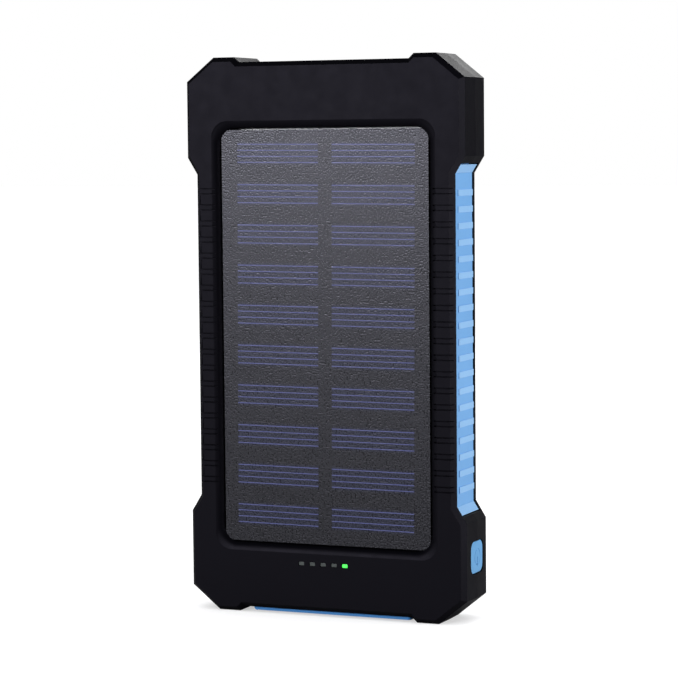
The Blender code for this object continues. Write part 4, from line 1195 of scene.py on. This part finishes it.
# %% Screws
HEAD_DEPTH = 13.45
HEAD_TOP = HEAD_DEPTH + 1.2
HEAD_RADIUS = 1.75
CROSS = (0.95, 0.22)
screw = rod("case_screw", HEAD_RADIUS, (0, 0), Y, HEAD_DEPTH, HEAD_TOP, sides=40)
pick(screw, "EDGE", lambda corners: same(corners, Y, HEAD_TOP))
bpy.ops.mesh.bevel(offset=0.6 * MM, segments=5, affect="EDGES")
done()
fuse(screw, rod("shank", 0.8, (0, 0), Y, HEAD_DEPTH - 8.3, HEAD_DEPTH + 0.3, sides=20))
cross_depth = (HEAD_DEPTH + 0.45, HEAD_DEPTH + 2)
for half_x, half_z in (CROSS, CROSS[::-1]):
    carve(screw, block("cross", (-half_x, half_x), cross_depth, (-half_z, half_z)))
soften(screw, 0.05, 2, angle=35)
for number, (x, z) in enumerate(BOSSES, 1):
    turned_screw = screw.copy()
    turned_screw.data = screw.data.copy()
    turned_screw.name = f"cross_screw_{number}"
    bpy.context.collection.objects.link(turned_screw)
    turned_screw.data.transform(Matrix.Rotation(0.7 * number, 4, "Y"))
    turned_screw.data.transform(Matrix.Translation((x * MM, 0, z * MM)))
    put_on(turned_screw, STEEL, "case", "plated_steel", f"case_screw_{number}")
bpy.data.objects.remove(screw)

# %% [markdown]
# ## The studio
#
# The charger stands on white paper in a light tent. The paper glows a little to the camera, which
# keeps it white out to the horizon, and only the shadow at the feet is left. To all other rays
# the paper is a darker grey, so that it doesn't light the black sides. The tent is brighter
# overhead than at its sides, so faces that look up are lit and upright faces stay dark. A wide
# lamp in front and to the left lights the upper part of the panel, two on the right light the
# blue side and the key, and one behind gives the right side wall its dull shine.

# %% Paper floor
start_fresh()
bpy.ops.mesh.primitive_plane_add(size=12)
floor = bpy.context.object
floor.name = "floor"
paper, tree, shader = new_finish("studio_paper", (0.5, 0.5, 0.5), 0.9, specular=0.0)
PAPER_GLOW = 0.5
PAPER_BOUNCE = (0.22, 0.22, 0.22)
PAPER_FAR = (0.14, 0.14, 0.14)
PAPER_FADE = (0.08, 0.3)
to_camera = node(tree, "LightPath").outputs["Is Camera Ray"]
fibres = mixed(tree, noise(tree, 30, 2.0), (0.49, 0.49, 0.50), (0.51, 0.51, 0.52))
away = node(tree, "VectorMath", {0: object_place(tree)}, operation="LENGTH").outputs["Value"]
far = spread(tree, away, 0, 1, *PAPER_FADE)
bounce = mixed(tree, far, PAPER_BOUNCE, PAPER_FAR)
tree.links.new(mixed(tree, to_camera, bounce, fibres), shader.inputs["Base Color"])
shader.inputs["Emission Color"].default_value = (1, 1, 1, 1)
glow = math_node(tree, "MULTIPLY", to_camera, PAPER_GLOW)
tree.links.new(glow, shader.inputs["Emission Strength"])
floor.data.materials.append(paper)
floor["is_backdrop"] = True
print("paper floor", round(floor.dimensions.x), "m wide")

# %% Light tent
TENT_SIDES = 0.02
TENT_TOP = 0.08
TENT_COLOUR = (0.95, 0.97, 1, 1)
room = bpy.data.worlds.new("room")
room.use_nodes = True
bpy.context.scene.world = room
tree = room.node_tree
tree.nodes.clear()
heading = node(tree, "SeparateXYZ", {"Vector": node(tree, "TexCoord").outputs["Generated"]})
upwards = {"Value": heading.outputs[2], "From Min": 0.1, "From Max": 0.8}
brightness = node(
    tree,
    "MapRange",
    {**upwards, "To Min": TENT_SIDES, "To Max": TENT_TOP},
    interpolation_type="SMOOTHSTEP",
).outputs[0]
seen = node(tree, "Background", {"Color": (1, 1, 1, 1), "Strength": 1.0}).outputs[0]
felt = node(tree, "Background", {"Color": TENT_COLOUR, "Strength": brightness}).outputs[0]
to_camera = node(tree, "LightPath").outputs["Is Camera Ray"]
tent = node(tree, "MixShader", {0: to_camera, 1: felt, 2: seen}).outputs[0]
node(tree, "OutputWorld", {"Surface": tent})


# %% Lamps

def softbox(name, spot, aim, size, power):
    lamp = bpy.data.lights.new(name, "AREA")
    lamp.shape = "RECTANGLE"
    lamp.size, lamp.size_y = size
    lamp.energy = power
    made = bpy.data.objects.new(name, lamp)
    made.location = spot
    made.rotation_euler = (Vector(aim) - Vector(spot)).to_track_quat("-Z", "Y").to_euler()
    bpy.context.collection.objects.link(made)


softbox("front_left", (-0.35, -0.80, 0.27), (0, 0, 0.12), (0.45, 0.20), 5.6)
softbox("right", (0.55, 0.10, 0.24), (0.03, 0, 0.07), (0.30, 0.40), 1.65)
softbox("right_low", (0.60, 0.05, 0.08), (0.03, 0, 0.10), (0.25, 0.14), 1.3)
softbox("back", (-0.10, 0.80, 0.40), (0, 0, 0.07), (0.60, 0.30), 2.6)

# The sky over the paper lights nothing but the paper, so it can be strong enough to show a
# shadow at the feet.
SKY_ANGLE = 100
SKY_POWER = 3.6
sky = bpy.data.lights.new("sky", "SUN")
sky.angle = math.radians(SKY_ANGLE)
sky.energy = SKY_POWER
sky_lamp = bpy.data.objects.new("sky", sky)
bpy.context.collection.objects.link(sky_lamp)
only_paper = bpy.data.collections.new("only_paper")
only_paper.objects.link(floor)
sky_lamp.light_linking.receiver_collection = only_paper
bpy.context.scene.view_settings.view_transform = "Standard"

# %% [markdown]
# ## The camera
#
# A long lens stands well back and a little above the middle of the case, turned to its right side.
# It is rolled by half a degree, as a camera held by hand is, so its axes are worked out one by one
# instead of with a track-to constraint, which would keep it level.

# %% Camera
YAW, PITCH, ROLL = (math.radians(a) for a in (22.96, 4.38, -0.51))
DISTANCE = 626.5
LENS = 134.4
SENSOR = 36
AIM = place(4.35, 0, 69.97)
forward = Vector(
    (-math.sin(YAW) * math.cos(PITCH), math.cos(YAW) * math.cos(PITCH), -math.sin(PITCH))
)
level_right = forward.cross(Vector((0, 0, 1))).normalized()
level_up = level_right.cross(forward)
right = level_right * math.cos(ROLL) + level_up * math.sin(ROLL)
up = level_up * math.cos(ROLL) - level_right * math.sin(ROLL)
camera = bpy.data.objects.new("camera", bpy.data.cameras.new("camera"))
camera.data.lens = LENS
camera.data.sensor_width = SENSOR
camera.data.clip_start = 0.01
camera.matrix_world = Matrix.Translation(AIM - forward * DISTANCE * MM) @ Matrix(
    (right, up, -forward)
).transposed().to_4x4()
bpy.context.collection.objects.link(camera)
bpy.context.scene.camera = camera
print("camera at", [round(c, 3) for c in camera.matrix_world.translation])

# %% Finish
look_low, look_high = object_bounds()
sizes = {
    "cad": [list(cad_low), list(cad_high)],
    "look": [list(look_low), list(look_high)],
}
corners_mm = [[round(v / MM, 2) for v in corner] for pair in sizes.values() for corner in pair]
print("sizes in mm:", corners_mm)
